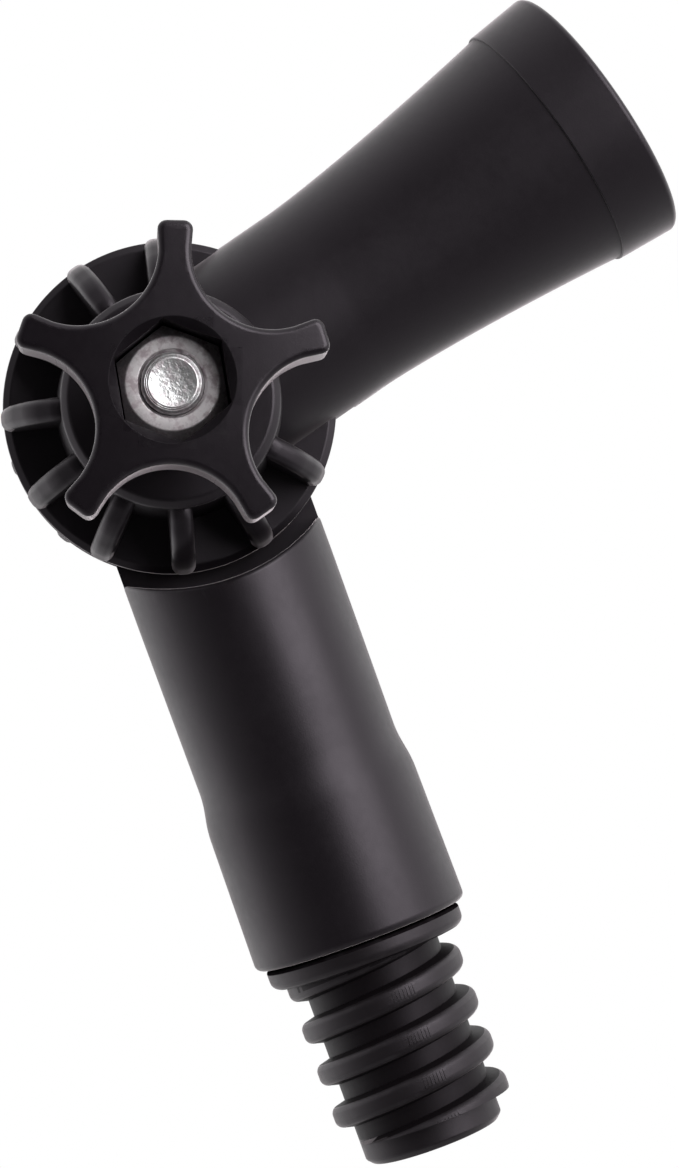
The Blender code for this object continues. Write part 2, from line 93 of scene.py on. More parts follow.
# Small measures without a setting
TOOTH_INNER_R, TOOTH_OUTER_R = 13.0 * MM, 20.6 * MM
TOOTH_CREST_DEG, TOOTH_ROOT_DEG = 2.0, 4.9  # half the turn that a tooth takes up
RIB_STEP_DEG = 30
RIB_PLACES = range(2, 11)  # steps from the arm's own tube
SPRING_ROOM = 1.4 * MM  # from the coil's middle line to the wall of its pocket
SPRING_POCKET_OUT = 5.0 * MM
COLLAR_EDGE = 0.45 * MM
FINE_ROUND = 0.3 * MM


def joint(name):
    return next(item for item in frame["joints"] if item["name"] == name)


def mount(name):
    return next(item for item in frame["record"]["mounts"] if item["name"] == name)


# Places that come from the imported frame
PIVOT_POINT = Vector(joint("elbow_pivot")["pos_m"])
PIVOT = Matrix.Translation(PIVOT_POINT)
REACH = Vector(mount("tip_end")["axis"])
SOCKET_FRAME = PIVOT @ Matrix.Rotation(math.pi, 4, "Y")
THREAD_FRAME = PIVOT @ Matrix.Rotation(math.atan2(REACH.x, REACH.z), 4, "Y")
REST_BEND_DEG = math.degrees(REACH.angle(Vector((0, 0, 1))))
PIVOT_TO_MOUTH = PIVOT_POINT.z
TIP_END = (THREAD_FRAME.inverted() @ Vector(mount("tip_end")["pos_m"])).z
THREAD_START = (THREAD_FRAME.inverted() @ Vector(mount("tip_collar")["pos_m"])).z
KNOB_TOP_OUT = -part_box("star_knob")[0].y
NUT_TOP_OUT = -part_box("hex_nut")[0].y
NUT_FOOT_OUT = -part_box("hex_nut")[1].y
WASHER_TOP_OUT = -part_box("knob_washer")[0].y
WASHER_FOOT_OUT = -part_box("knob_washer")[1].y
BOLT_END_OUT = -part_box("pivot_bolt")[0].y
HEAD_TOP_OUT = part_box("pivot_bolt")[1].y
SPRING_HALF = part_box("release_spring")[1].y


# Settings


def length(name, millimetres, description):
    return FloatProperty(name=name, description=description, default=millimetres * MM, min=0,
                         precision=5, subtype="DISTANCE", unit="LENGTH")


def turn(name, degrees, description):
    return FloatProperty(name=name, description=description, default=math.radians(degrees), subtype="ANGLE",
                         unit="ROTATION")


def share(name, value, description):
    return FloatProperty(name=name, description=description, default=value, min=0, max=1, subtype="FACTOR")


def amount(name, value, description):
    return FloatProperty(name=name, description=description, default=value, min=0)


def colour(name, rgb, description):
    return FloatVectorProperty(name=name, description=description, default=rgb, min=0, max=1, size=3,
                               subtype="COLOR")


class KnuckleSettings(bpy.types.PropertyGroup):
    tube_r: length("Tube Radius", 14.0, "Radius of both arms at the knuckle")
    disc_r: length("Disc Radius", 22.3, "Radius of the toothed discs")
    disc_thickness: length("Disc Thickness", 2.0, "Thickness of a disc without its teeth")
    disc_edge: length("Disc Edge Width", 0.95, "Chamfer round a disc's outer face")
    hub_foot_r: length("Hub Foot Radius", 15.2, "Radius of a hub at its disc")
    hub_top_r: length("Hub Top Radius", 14.4, "Radius of a hub at its outer end")
    hub_out: length("Hub Height", 16.3, "How far out a hub ends")
    hub_chamfer: length("Hub Chamfer", 1.0, "Chamfer round a hub's outer end")
    rib_width: length("Rib Width", 3.2, "Thickness of a radial rib")
    rib_rise: length("Rib Rise", 5.0, "Height of a rib over the disc's rim")
    rib_below_hub: length("Rib Drop", 2.0, "Drop from a hub's end to a rib")
    rib_round: length("Rib Rounding", 1.25, "Rounding along a rib's crest")
    tooth_count: IntProperty(name="Teeth", description="Face teeth on each disc", default=24, min=3)
    tooth_height: length("Tooth Height", 1.1, "Height of a face tooth")
    tooth_opening: length("Tooth Opening", 0.3, "Air between the teeth at rest")
    arc_clearance: length("Disc Clearance", 2.3, "Air between a disc's edge and the other arm")
    arc_round: length("Clearance Rounding", 0.7, "Rounding where a tube stops by the other disc")


class SocketSettings(bpy.types.PropertyGroup):
    neck: length("Neck Length", 26.0, "Start of the flare from the pivot")
    flare_power: amount("Flare Curve", 1.4, "How late the flare opens")
    band_length: length("Band Length", 8.7, "Length of the plain band at the mouth")
    band_step: length("Band Step", 0.3, "How far the band stands proud")
    band_r: length("Band Radius", 18.0, "Radius of the band's inner end")
    mouth_r: length("Mouth Radius", 18.75, "Outer radius at the mouth")
    rim_round: length("Rim Rounding", 0.9, "Rounding of the mouth's outer edge")
    wall: length("Mouth Wall", 2.2, "Wall thickness at the mouth")
    lead_in: length("Lead-in Depth", 14.5, "Depth of the plain bore before the thread")
    thread_end: length("Thread End", 28.5, "Inner end of the thread from the pivot")


class SleeveSettings(bpy.types.PropertyGroup):
    start: length("Sleeve Start", 26.5, "Start of the narrowing from the pivot")
    waist_r: length("Waist Radius", 13.85, "Radius above the step")
    step_start: length("Step Start", 51.2, "Upper end of the step from the pivot")
    step_end: length("Step End", 55.2, "Lower end of the step from the pivot")
    lower_r: length("Lower Radius", 14.6, "Radius below the step")
    end_r: length("End Radius", 14.85, "Radius at the sleeve's end")
    end: length("Sleeve End", 75.1, "End of the sleeve from the pivot")
    end_round: length("End Rounding", 1.0, "Rounding of the sleeve's end")
    bore_depth: length("Bore Depth", 30.0, "Depth of the bore for the tip's spigot")


class TipSettings(bpy.types.PropertyGroup):
    spigot_r: length("Spigot Radius", 10.4, "Radius of the spigot in the sleeve")
    spigot_length: length("Spigot Length", 24.0, "Length of the spigot")
    hole_r: length("Hole Radius", 6.5, "Radius of the hole up the spigot")
    hole_depth: length("Hole Depth", 46.0, "Depth of the hole up the spigot")
    collar_r: length("Collar Radius", 13.65, "Radius of the collar")
    collar_round: length("Collar Rounding", 1.3, "Rounding of the collar by the thread")
    root_r: length("Root Radius", 9.6, "Radius at the thread's root")
    crest_r: length("Crest Radius", 11.8, "Radius at the thread's crest")
    pitch: length("Pitch", 5.95, "Distance between thread turns")
    base_width: length("Ridge Base", 3.75, "Width of the ridge at its root")
    crest_width: length("Ridge Crest", 2.6, "Width of the ridge at its crest")
    ridge_round: length("Ridge Rounding", 0.85, "Rounding along the ridge's crest")
    thread_length: length("Thread Length", 22.6, "Length of the thread past the collar")
    start: turn("Thread Start", 289.0, "Where the ridge leaves the collar")
    plain_r: length("End Radius", 9.6, "Radius of the plain end")
    end_chamfer: length("End Chamfer", 0.8, "Chamfer of the plain end")
    notch_count: IntProperty(name="Notches", description="Fine notches across each crest", default=7, min=1)
    notch_first: turn("First Notch", 252.6, "Direction of the first notch")
    notch_step: turn("Notch Step", 2.4, "Turn from one notch to the next")
    notch_width: length("Notch Width", 0.16, "Width of a notch")
    notch_depth: length("Notch Depth", 0.10, "Depth of a notch")


class KnobSettings(bpy.types.PropertyGroup):
    lobes: IntProperty(name="Lobes", description="Lobes of the star", default=5, min=3)
    first_lobe: turn("First Lobe", -35.8, "Direction of the first lobe, from +X towards +Z")
    star_r: length("Star Radius", 20.0, "Radius to the end of a lobe")
    star_height: length("Star Height", 10.0, "Height of the lobes")
    edge_round: length("Edge Rounding", 0.85, "Rounding along the star's top edge")
    crown: length("Crown", 1.2, "Fall of the star's top from its axis to the end of a lobe")
    stem_r: length("Stem Radius", 9.5, "Radius of the stem under the star")
    scallop_r: length("Scallop Centre", 20.4, "Distance of a scallop's centre from the axis")
    neck_half: length("Lobe Neck", 2.05, "Half the narrowest width of a lobe")
    tip_half: length("Lobe Tip", 2.3, "Half the width of a lobe at its end")
    tip_round: length("Tip Rounding", 1.25, "Rounding of a lobe's end corners")
    countersink_r: length("Countersink Radius", 8.1, "Radius of the countersink over the nut")
    countersink_depth: length("Countersink Depth", 2.0, "Depth of the countersink")
    pocket_corner: turn("Pocket Corner", 34.5, "Direction of a corner of the nut, from +X towards +Z")
    pocket_clearance: length("Pocket Clearance", 0.25, "Air between the nut's flats and its pocket")


class FastenerSettings(bpy.types.PropertyGroup):
    across_flats: length("Across Flats", 13.0, "Width of the nut and of the bolt's head")
    chamfer_r: length("Chamfer Radius", 5.95, "Radius of the flat ring on the nut's face")
    chamfer_slope: turn("Chamfer Slope", 43.0, "Slope of the cone round the flat ring")
    bolt_r: length("Bolt Radius", 3.95, "Radius of the bolt")
    bolt_tip_r: length("Bolt Tip Radius", 3.7, "Radius at the bolt's end")
    bolt_seat: length("Head Seat", 8.1, "How far out the bolt's head sits in the rear hub")
    cup_r: length("Cup Radius", 2.95, "Radius of the cup in the bolt's end")
    cup_depth: length("Cup Depth", 0.4, "Depth of the cup in the bolt's end")
    washer_r: length("Washer Radius", 8.0, "Radius of the washer under the knob")
    spring_r: length("Spring Radius", 6.0, "Radius of the release spring's coil")
    wire_r: length("Wire Radius", 0.6, "Radius of the spring's wire")


class FinishSettings(bpy.types.PropertyGroup):
    arm_colour: colour("Arm Plastic", (0.0070, 0.0052, 0.0070), "Colour of the arms")
    thread_colour: colour("Thread Plastic", (0.0066, 0.0050, 0.0060), "Colour of the threaded tip")
    knob_colour: colour("Knob Plastic", (0.0066, 0.0048, 0.0066), "Colour of the star knob")
    worn_colour: colour("Worn Plastic", (0.022, 0.020, 0.022), "Colour that edges wear to")
    zinc_colour: colour("Zinc", (0.75, 0.71, 0.725), "Colour of the plating")
    bolt_colour: colour("Bolt Zinc", (0.97, 0.96, 0.97), "Colour of the bolt's brighter plating")
    steel_colour: colour("Spring Steel", (0.35, 0.35, 0.36), "Colour of the spring")
    arm_roughness: share("Arm Roughness", 0.43, "Roughness of the arms")
    thread_roughness: share("Thread Roughness", 0.50, "Roughness of the threaded tip")
    knob_roughness: share("Knob Roughness", 0.33, "Roughness of the knob")
    zinc_roughness: share("Zinc Roughness", 0.49, "Roughness of the plating")
    bolt_roughness: share("Bolt Roughness", 0.42, "Roughness of the bolt's plating")
    plastic_shine: share("Plastic Shine", 0.42, "Specular level of the plastic")
    # Painted shade: specular level of the plastic copies that darken the thread's roots and the knob's pocket
    # walls
    painted_shade_recess_shine: share("Painted Shade Recess Shine", 0.15, "Specular level of the plastic in recesses")
    shine_tint: colour("Shine Tint", (1.0, 0.90, 1.0), "Tint of the plastic's shine")
    bloom: share("Bloom", 1.0, "Pale bloom of the plastic at a grazing angle")
    bloom_tint: colour("Bloom Tint", (1.0, 0.90, 0.94), "Tint of the bloom")
    grain_size: length("Grain Size", 0.22, "Size of the moulded grain")


class StudioSettings(bpy.types.PropertyGroup):
    distance: length("Camera Distance", 480.0, "Distance of the camera from the pivot")
    lens: FloatProperty(name="Lens", description="Focal length", default=109.92, unit="CAMERA")
    roll: turn("Camera Roll", 125.05, "Roll of the camera about its own axis")
    turn_side: turn("Camera Turn", 3.3, "Turn of the camera to the side")
    turn_up: turn("Camera Tilt", 2.45, "Tilt of the camera")
    aim_right: length("Aim Right", 22.85, "How far right of the pivot the camera is aimed")
    aim_down: length("Aim Down", 23.51, "How far below the pivot the camera is aimed")
    key_side: turn("Key Side", 46.0, "Angle of the key softbox from the camera's direction")
    key_clock: turn("Key Clock", 32.0, "Direction of the key softbox in the view, up from the right")
    key_power: amount("Key Power", 3.6, "Power of the key softbox in watts")
    rim_power: amount("Rim Power", 1.0, "Power of the softbox behind the key in watts")
    fill_power: amount("Fill Power", 1.0, "Power of the other side's softbox in watts")
    room_level: share("Room Level", 0.35, "Light that the room gives matt surfaces")
    dark_side: share("Dark Side", 0.04, "Brightness of the room behind the camera to gloss")
    dim_clock: turn("Dim Clock", -60.0, "Direction of the dim wall in the view, up from the right")
    dim_level: share("Dim Level", 0.5, "Brightness of the dim wall to gloss, beside the rest")
    floor_colour: colour("Floor", (0.86, 0.86, 0.86), "Colour of the floor")
    floor_drop: length("Floor Drop", 1200.0, "Depth of the floor under the socket's mouth")


class AdapterSettings(bpy.types.PropertyGroup):
    knuckle: PointerProperty(type=KnuckleSettings)
    socket: PointerProperty(type=SocketSettings)
    sleeve: PointerProperty(type=SleeveSettings)
    tip: PointerProperty(type=TipSettings)
    knob: PointerProperty(type=KnobSettings)
    fasteners: PointerProperty(type=FastenerSettings)
    finish: PointerProperty(type=FinishSettings)
    studio: PointerProperty(type=StudioSettings)


# Building blocks


def out_frame(side):
    """Turns local Z to point out along the pivot axis on the side given, and local X along the arm."""
    return Matrix(((0, side, 0, 0), (0, 0, side, 0), (1, 0, 0, 0), (0, 0, 0, 1)))


def shift(*vector):
    return Matrix.Translation(vector)


def about(axis, angle):
    return Matrix.Rotation(angle, 4, axis)


def moved(bm, matrix):
    bmesh.ops.transform(bm, matrix=matrix, verts=bm.verts[:])
    return bm


def weld(bm):
    bmesh.ops.remove_doubles(bm, verts=bm.verts[:], dist=WELD)


def face_outwards(bm):
    bmesh.ops.recalc_face_normals(bm, faces=bm.faces[:])
    return bm


def everything(bm):
    return bm.verts[:] + bm.edges[:] + bm.faces[:]


def verts_in(items):
    return [item for item in items if isinstance(item, bmesh.types.BMVert)]


def heights(edge):
    return [vert.co.z for vert in edge.verts]


def as_mesh(name, bm):
    """A new mesh with the bmesh's shape, which is used up."""
    mesh = bpy.data.meshes.new(name)
    bm.to_mesh(mesh)
    bm.free()
    return mesh


def linked_object(name, data):
    obj = bpy.data.objects.new(name, data)
    bpy.context.scene.collection.objects.link(obj)
    return obj


def round_corners(bm, corners):
    """Rounds wire corners, given as (vertex, how far from the corner the rounding starts)."""
    groups = {}
    for vert, reach in corners:
        groups.setdefault(reach, []).append(vert)
    for reach, verts in groups.items():
        bmesh.ops.bevel(bm, geom=verts, offset=reach, segments=ROUND_SEGMENTS, profile=0.5, affect="VERTICES",
                        material=-1)


def wire(points, closed=False, plane="XZ"):
    """A bmesh wire through (a, b) or (a, b, rounding) points."""
    bm = bmesh.new()
    verts = [bm.verts.new((a, 0, b) if plane == "XZ" else (a, b, 0)) for a, b, *_ in points]
    for pair in zip(verts, verts[1:] + verts[:1] if closed else verts[1:]):
        bm.edges.new(pair)
    round_corners(bm, [(vert, point[2]) for vert, point in zip(verts, points) if len(point) > 2])
    return bm


def turned(profile, steps, longest=None, rings_from=0.0, closed=False):
    """A solid turned about local Z from (radius, height) or (radius, height, rounding) points.

    Profile edges over the longest length are divided, if they lie above rings_from.
    """
    bm = wire(profile, closed)
    if longest:
        for edge in list(bm.edges):
            if edge.calc_length() > longest and min(heights(edge)) > rings_from - WELD:
                bmesh.ops.subdivide_edges(bm, edges=[edge], cuts=int(edge.calc_length() / longest))
    bmesh.ops.spin(bm, geom=bm.verts[:] + bm.edges[:], cent=(0, 0, 0), axis=(0, 0, 1), angle=math.tau,
                   steps=steps, use_merge=True)
    weld(bm)
    return face_outwards(bm)


def rod(radius, start, end, steps):
    return turned([(0, start), (radius, start), (radius, end), (0, end)], steps)


def lipped_hole(radius, floor, top, lip):
    """The profile of a cutter for a round hole whose edge is rounded."""
    wide = radius + 3 * lip
    return [(0, floor), (radius, floor), (radius, top, lip), (wide, top + SKIM), (wide, top + MM),
            (0, top + MM)]


def raised(bm, height):
    """Fills a closed wire in the plane XY and raises it along Z."""
    bmesh.ops.edgeloop_fill(bm, edges=bm.edges[:])
    top = bmesh.ops.extrude_face_region(bm, geom=bm.faces[:])["geom"]
    bmesh.ops.translate(bm, verts=verts_in(top), vec=(0, 0, height))
    return face_outwards(bm)


def hexagon(across_flats, low, high, first_corner):
    """A hexagonal bar about local Z."""
    bm = bmesh.new()
    bmesh.ops.create_circle(bm, cap_ends=False, segments=6, radius=across_flats / math.sqrt(3))
    return moved(raised(bm, high - low), shift(0, 0, low) @ about("Z", first_corner - math.pi / 2))


def rounded(bm, chosen, reach, segments=ROUND_SEGMENTS):
    """Rounds the edges for which chosen(edge) is true."""
    edges = [edge for edge in bm.edges if chosen(edge)]
    bmesh.ops.bevel(bm, geom=edges, offset=reach, segments=segments, profile=0.5, affect="EDGES", material=-1)
    return bm


def copies(bm, places):
    """One bmesh that holds the shape once at each place."""
    shape = as_mesh("shape", bm)
    group = bmesh.new()
    for place in places:
        before = len(group.verts)
        group.from_mesh(shape)
        group.verts.ensure_lookup_table()
        bmesh.ops.transform(group, matrix=place, verts=group.verts[before:])
    bpy.data.meshes.remove(shape)
    return group


def combined(base, *steps):
    """The base after each (operation, solid) step, by exact Booleans. The solids are used up."""
    solids = [base, *(solid for _, solid in steps)]
    made = [bpy.data.objects.new("step", as_mesh("step", bm)) for bm in solids]
    bpy.context.scene.collection.objects.link(made[0])
    for (operation, _), solid in zip(steps, made[1:]):
        modifier = made[0].modifiers.new(operation.lower(), "BOOLEAN")
        modifier.operation = operation
        modifier.solver = "EXACT"
        modifier.object = solid
    result = bmesh.new()
    result.from_object(made[0], bpy.context.evaluated_depsgraph_get())
    for obj in made:
        mesh = obj.data
        bpy.data.objects.remove(obj)
        bpy.data.meshes.remove(mesh)
    weld(result)
    # The solver can leave out a tiny face, and the next step goes wrong at such a hole.
    bmesh.ops.holes_fill(result, edges=[edge for edge in result.edges if edge.is_boundary])
    return result


def cut_off(bm, point, normal):
    """Takes away what lies past a plane, and leaves the cut open."""
    bmesh.ops.bisect_plane(bm, geom=everything(bm), dist=WELD / 2, plane_co=point, plane_no=normal,
                           clear_outer=True)


def close_cuts(bm):
    bmesh.ops.holes_fill(bm, edges=[edge for edge in bm.edges if edge.is_boundary])
    return face_outwards(bm)


def threaded_bar(section, pitch, low, high, start):
    """A round bar with a right-hand ridge, cut square at both ends.

    The section is (radius, along) or (radius, along, rounding) points across one ridge, from root to root.
    """
    turns = math.ceil((high - low) / pitch) + 2
    root_r, first = section[0]
    bm = moved(wire([*section, (root_r, first + pitch)]), shift(0, 0, low - pitch) @ about("Z", start))
    bmesh.ops.spin(bm, geom=bm.verts[:] + bm.edges[:], cent=(0, 0, 0), axis=(0, 0, 1),
                   dvec=(0, 0, pitch / THREAD_STEPS), angle=math.tau * turns, steps=THREAD_STEPS * turns)
    weld(bm)
    cut_off(bm, (0, 0, low), (0, 0, -1))
    cut_off(bm, (0, 0, high), (0, 0, 1))
    return close_cuts(bm)


def mark_edges(bm):
    """Stores on each face whether it belongs to a rounded or chamfered edge, for the wear."""
    layer = bm.faces.layers.float.new("edge_mask")
    for face in bm.faces:
        bends = sorted(edge.calc_face_angle_signed(0) for edge in face.edges)
        width = face.calc_area() / max(edge.calc_length() for edge in face.edges)
        face[layer] = 1.0 if bends[-2] > TIGHT_BEND * width else 0.0


def mark_painted_shade(bm, *kinds):
    """Gives a face the material, after the first, whose kind(middle, normal) is true for it: a painted-shade
    copy for faces where shade falls.
    """
    for face in bm.faces:
        middle = face.calc_center_median()
        found = (index for index, kind in enumerate(kinds, 1) if kind(middle, face.normal))
        face.material_index = next(found, 0)


def add_piece(name, bm, place, node, body, slot, *materials):
    """Makes the object, with its place in its mesh, hides its CAD node and ties it to its body."""
    mark_edges(face_outwards(moved(bm, place)))
    mesh = as_mesh(name, bm)
    mesh.polygons.foreach_set("use_smooth", [True] * len(mesh.polygons))
    mesh.set_sharp_from_angle(angle=math.radians(SHARP_DEG))
    for material in materials:
        mesh.materials.append(material)
    obj = linked_object(name, mesh)
    obj.modifiers.new("weighted_normals", "WEIGHTED_NORMAL").keep_sharp = True
    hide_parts(node)
    if body:
        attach(obj, body)
    return obj


# Materials


def feed(tree, socket, value):
    """Gives a socket a plain value, or links an output to it."""
    if isinstance(value, bpy.types.NodeSocket):
        tree.links.new(value, socket)
    else:
        socket.default_value = value


def add_node(tree, kind, inputs, output=0, **properties):
    """Adds a node with its properties and inputs, and gives one of its outputs."""
    made = tree.nodes.new(kind)
    for name, value in properties.items():
        setattr(made, name, value)
    for key, value in inputs.items():
        feed(tree, made.inputs[key], value)
    return made.outputs[output]


def noise(tree, vector, scale, detail, roughness):
    return add_node(tree, "ShaderNodeTexNoise",
                    {"Vector": vector, "Scale": scale, "Detail": detail, "Roughness": roughness})


def map_range(tree, value, low, high, to_low=0.0, to_high=1.0):
    return add_node(tree, "ShaderNodeMapRange", dict(enumerate((value, low, high, to_low, to_high))))


def math_node(tree, operation, *values):
    return add_node(tree, "ShaderNodeMath", dict(enumerate(values)), operation=operation)


def product(tree, *values):
    return math_node(tree, "MULTIPLY", *values)


def along(tree, vector, axis):
    """How far a direction points along an axis."""
    return add_node(tree, "ShaderNodeVectorMath", {0: vector, 1: axis}, "Value", operation="DOT_PRODUCT")


def mix_colour(tree, factor, first, second):
    return add_node(tree, "ShaderNodeMix", {0: factor, 6: first, 7: second}, 2, data_type="RGBA")


def attribute(tree, name):
    return add_node(tree, "ShaderNodeAttribute", {}, "Fac", attribute_name=name)


def bump(tree, height, distance):
    inputs = {"Strength": 1.0, "Distance": distance, "Height": height}
    return add_node(tree, "ShaderNodeBump", inputs, "Normal")


def moulded_grain(group, given):
    """Fine eroded grain of a mould, with larger soft waves from cooling."""
    fine = noise(group, given["Vector"], given["Grain Scale"], 3, 0.6)
    broad = noise(group, given["Vector"], 110, 2, 0.4)
    return {"Height": math_node(group, "MULTIPLY_ADD", broad, given["Sink"], fine)}


def roughness_variation(group, given):
    """Roughness that drifts over the surface, with small handling marks."""
    broad = noise(group, given["Vector"], 60, 3, 0.55)
    fine = noise(group, given["Vector"], 900, 4, 0.65)
    blend = math_node(group, "MULTIPLY_ADD", fine, 0.4, product(group, broad, 0.6))
    rough = map_range(group, blend, 0.36, 0.64, given["Low"], given["High"])
    return {"Roughness": math_node(group, "SUBTRACT", rough,
                                   product(group, given["Edge Mask"], given["Edge Polish"]))}


def edge_wear(group, given):
    """Moves the colour towards the worn one along marked edges, in broken patches."""
    patches = map_range(group, noise(group, given["Vector"], 420, 4, 0.6), 0.42, 0.66)
    worn = product(group, product(group, patches, given["Edge Mask"]), given["Wear"])
    specks = map_range(group, noise(group, given["Vector"], 2600, 3, 0.7), 0.52, 0.72)
    factor = math_node(group, "MAXIMUM", worn, product(group, specks, given["Speckle"]))
    return {"Colour": mix_colour(group, factor, given["Colour"], given["Worn Colour"])}


def zinc_plating(group, given):
    """Spangled zinc: a mottled colour, and a height for its fine crystals and for forged pits."""
    dull = map_range(group, noise(group, given["Vector"], 700, 4, 0.6), 0.44, 0.62)
    pits = noise(group, given["Vector"], 1700, 3, 0.6)
    fine = product(group, noise(group, given["Vector"], 4200, 2, 0.5), 0.6)
    deep = product(group, pits, product(group, given["Pitting"], 4.0))
    return {"Colour": mix_colour(group, dull, given["Colour"], given["Dull Colour"]),
            "Height": math_node(group, "ADD", fine, deep), "Dullness": dull}


# The groups' sockets: a number stands for a float socket, four numbers for a colour, and None for a vector
BLACK, WHITE = (0, 0, 0, 1), (1, 1, 1, 1)
SOCKET_KINDS = {float: "NodeSocketFloat", tuple: "NodeSocketColor", type(None): "NodeSocketVector"}
GROUPS = {
    "moulded_grain": (moulded_grain, {"Vector": None, "Grain Scale": 4000.0, "Sink": 0.3}, {"Height": 0.0}),
    "roughness_variation": (roughness_variation, {"Vector": None, "Low": 0.4, "High": 0.5, "Edge Mask": 0.0,
                                                  "Edge Polish": 0.05}, {"Roughness": 0.0}),
    "edge_wear": (edge_wear, {"Vector": None, "Colour": BLACK, "Worn Colour": WHITE, "Edge Mask": 0.0,
                              "Wear": 0.5, "Speckle": 0.1}, {"Colour": BLACK}),
    "zinc_plating": (zinc_plating, {"Vector": None, "Colour": WHITE, "Dull Colour": BLACK, "Pitting": 0.0},
                     {"Colour": BLACK, "Height": 0.0, "Dullness": 0.0}),
}


def new_group(name, fill, inputs, outputs):
    """A shader group whose nodes come from fill(group, its inputs), which gives the outputs by name."""
    group = bpy.data.node_groups.new(name, "ShaderNodeTree")
    for direction, sockets in (("INPUT", inputs), ("OUTPUT", outputs)):
        for socket_name, value in sockets.items():
            socket = group.interface.new_socket(name=socket_name, in_out=direction,
                                                socket_type=SOCKET_KINDS[type(value)])
            if value is not None:
                socket.default_value = value
    given, out = group.nodes.new("NodeGroupInput"), group.nodes.new("NodeGroupOutput")
    for socket_name, value in fill(group, given.outputs).items():
        group.links.new(value, out.inputs[socket_name])
    return group


def place_group(tree, name, vector, **values):
    """Adds a node of one of the groups, and gives its outputs."""
    made = tree.nodes.new("ShaderNodeGroup")
    made.node_tree = bpy.data.node_groups.get(name) or new_group(name, *GROUPS[name])
    for key, value in {"Vector": vector, **values}.items():
        feed(tree, made.inputs[key.replace("_", " ")], value)
    return made.outputs


def shaded(name, inputs_of):
    """The material of this name. A new one's shader is fed what inputs_of(tree, vector) gives."""
    material = bpy.data.materials.get(name)
    if not material:
        material = bpy.data.materials.new(name)
        material.use_nodes = True
        tree = material.node_tree
        vector = tree.nodes.new("ShaderNodeTexCoord").outputs["Object"]
        for key, value in inputs_of(tree, vector).items():
            feed(tree, tree.nodes["Principled BSDF"].inputs[key], value)
    return material


def plastic(name, rgb, roughness, wear, painted_shade_shine=None):
    """Satin moulded plastic. Its painted-shade copy has a specular level of its own and no bloom, so the
    faces where shade falls render darker.
    """
    finish = bpy.context.scene.pole_adapter.finish
    lit_copy = painted_shade_shine is None

    def inputs_of(tree, vector):
        edges = attribute(tree, "edge_mask")
        worn = place_group(tree, "edge_wear", vector, Colour=(*rgb, 1), Worn_Colour=(*finish.worn_colour, 1),
                           Edge_Mask=edges, Wear=wear, Speckle=0.12)
        rough = place_group(tree, "roughness_variation", vector, Low=roughness - 0.05, High=roughness + 0.05,
                            Edge_Mask=edges, Edge_Polish=0.05)
        grain = place_group(tree, "moulded_grain", vector, Grain_Scale=1 / finish.grain_size, Sink=0.35)
        return {
            "Base Color": worn["Colour"],
            "Roughness": rough["Roughness"],
            "Normal": bump(tree, grain["Height"], 0.009 * MM),
            "Specular IOR Level": finish.plastic_shine if lit_copy else painted_shade_shine,
            "Specular Tint": (*finish.shine_tint, 1),
            "Sheen Weight": finish.bloom if lit_copy else 0.0,
            "Sheen Roughness": 0.25,
            "Sheen Tint": (*finish.bloom_tint, 1),
        }

    return shaded(name, inputs_of)


def plated(name, rgb, roughness, pitted=1.0):
    """Zinc plated or drawn steel."""
    dull = tuple(channel * factor for channel, factor in zip(rgb, (0.60, 0.55, 0.57)))

    def inputs_of(tree, vector):
        plating = place_group(tree, "zinc_plating", vector, Colour=(*rgb, 1), Dull_Colour=(*dull, 1),
                              Pitting=product(tree, attribute(tree, "pitted"), pitted))
        return {
            "Base Color": plating["Colour"],
            "Roughness": map_range(tree, plating["Dullness"], 0, 1, roughness - 0.05, roughness + 0.12),
            "Normal": bump(tree, plating["Height"], 0.012 * MM),
            "Metallic": 1.0,
        }

    return shaded(name, inputs_of)


# The arms


def root_out(knuckle):
    """The plane of the teeth's roots."""
    return knuckle.tooth_opening / 2 + knuckle.tooth_height


def disc_out(knuckle):
    """The disc's outer face."""
    return root_out(knuckle) + knuckle.disc_thickness


def knuckle_body(knuckle):
    """An arm's disc and hub as one turned solid, about the pivot axis."""
    root, face, edge, chamfer = root_out(knuckle), disc_out(knuckle), knuckle.disc_edge, knuckle.hub_chamfer
    return turned([
        (0, knuckle.hub_out), (knuckle.hub_top_r - chamfer, knuckle.hub_out, FINE_ROUND),
        (knuckle.hub_top_r, knuckle.hub_out - chamfer, FINE_ROUND), (knuckle.hub_foot_r, face),
        (knuckle.disc_r - edge, face, 0.15 * MM), (knuckle.disc_r, face - 0.6 * edge, 0.15 * MM),
        (knuckle.disc_r, root, 0.25 * MM), (0, root),
    ], DISC_STEPS)


def ribs(knuckle, side):
    """The radial ribs between hub and rim, left out where the arm's own tube takes their place."""
    face, outer = disc_out(knuckle), knuckle.disc_r
    foot = face - knuckle.disc_thickness / 2
    inner = knuckle.hub_top_r - knuckle.rib_width
    rim_top = face + knuckle.rib_rise
    hub_top = knuckle.hub_out - knuckle.rib_below_hub
    bm = wire([
        (inner, foot), (outer - GAP, foot), (outer + GAP, face + 1.1 * MM, 0.5 * MM),
        (outer - 0.55 * MM, rim_top, 1.7 * MM),
        ((outer + knuckle.hub_foot_r) / 2, (rim_top + hub_top) / 2 + 1.1 * MM, 1.5 * MM),
        (knuckle.hub_foot_r, hub_top, 0.8 * MM), (inner, hub_top),
    ], closed=True, plane="XY")
    raised(bm, knuckle.rib_width)

    def on_crest(edge):
        first, second = (vert.co for vert in edge.verts)
        return (abs(first.z - second.z) < WELD and max(first.y, second.y) > face
                and max(first.x, second.x) > knuckle.hub_top_r)

    rounded(bm, on_crest, knuckle.rib_round)
    moved(bm, shift(0, 0, -knuckle.rib_width / 2))
    upright = out_frame(side) @ Matrix(((1, 0, 0, 0), (0, 0, -1, 0), (0, 1, 0, 0), (0, 0, 0, 1)))
    return copies(bm, [about("Y", math.radians(RIB_STEP_DEG * place)) @ upright for place in RIB_PLACES])


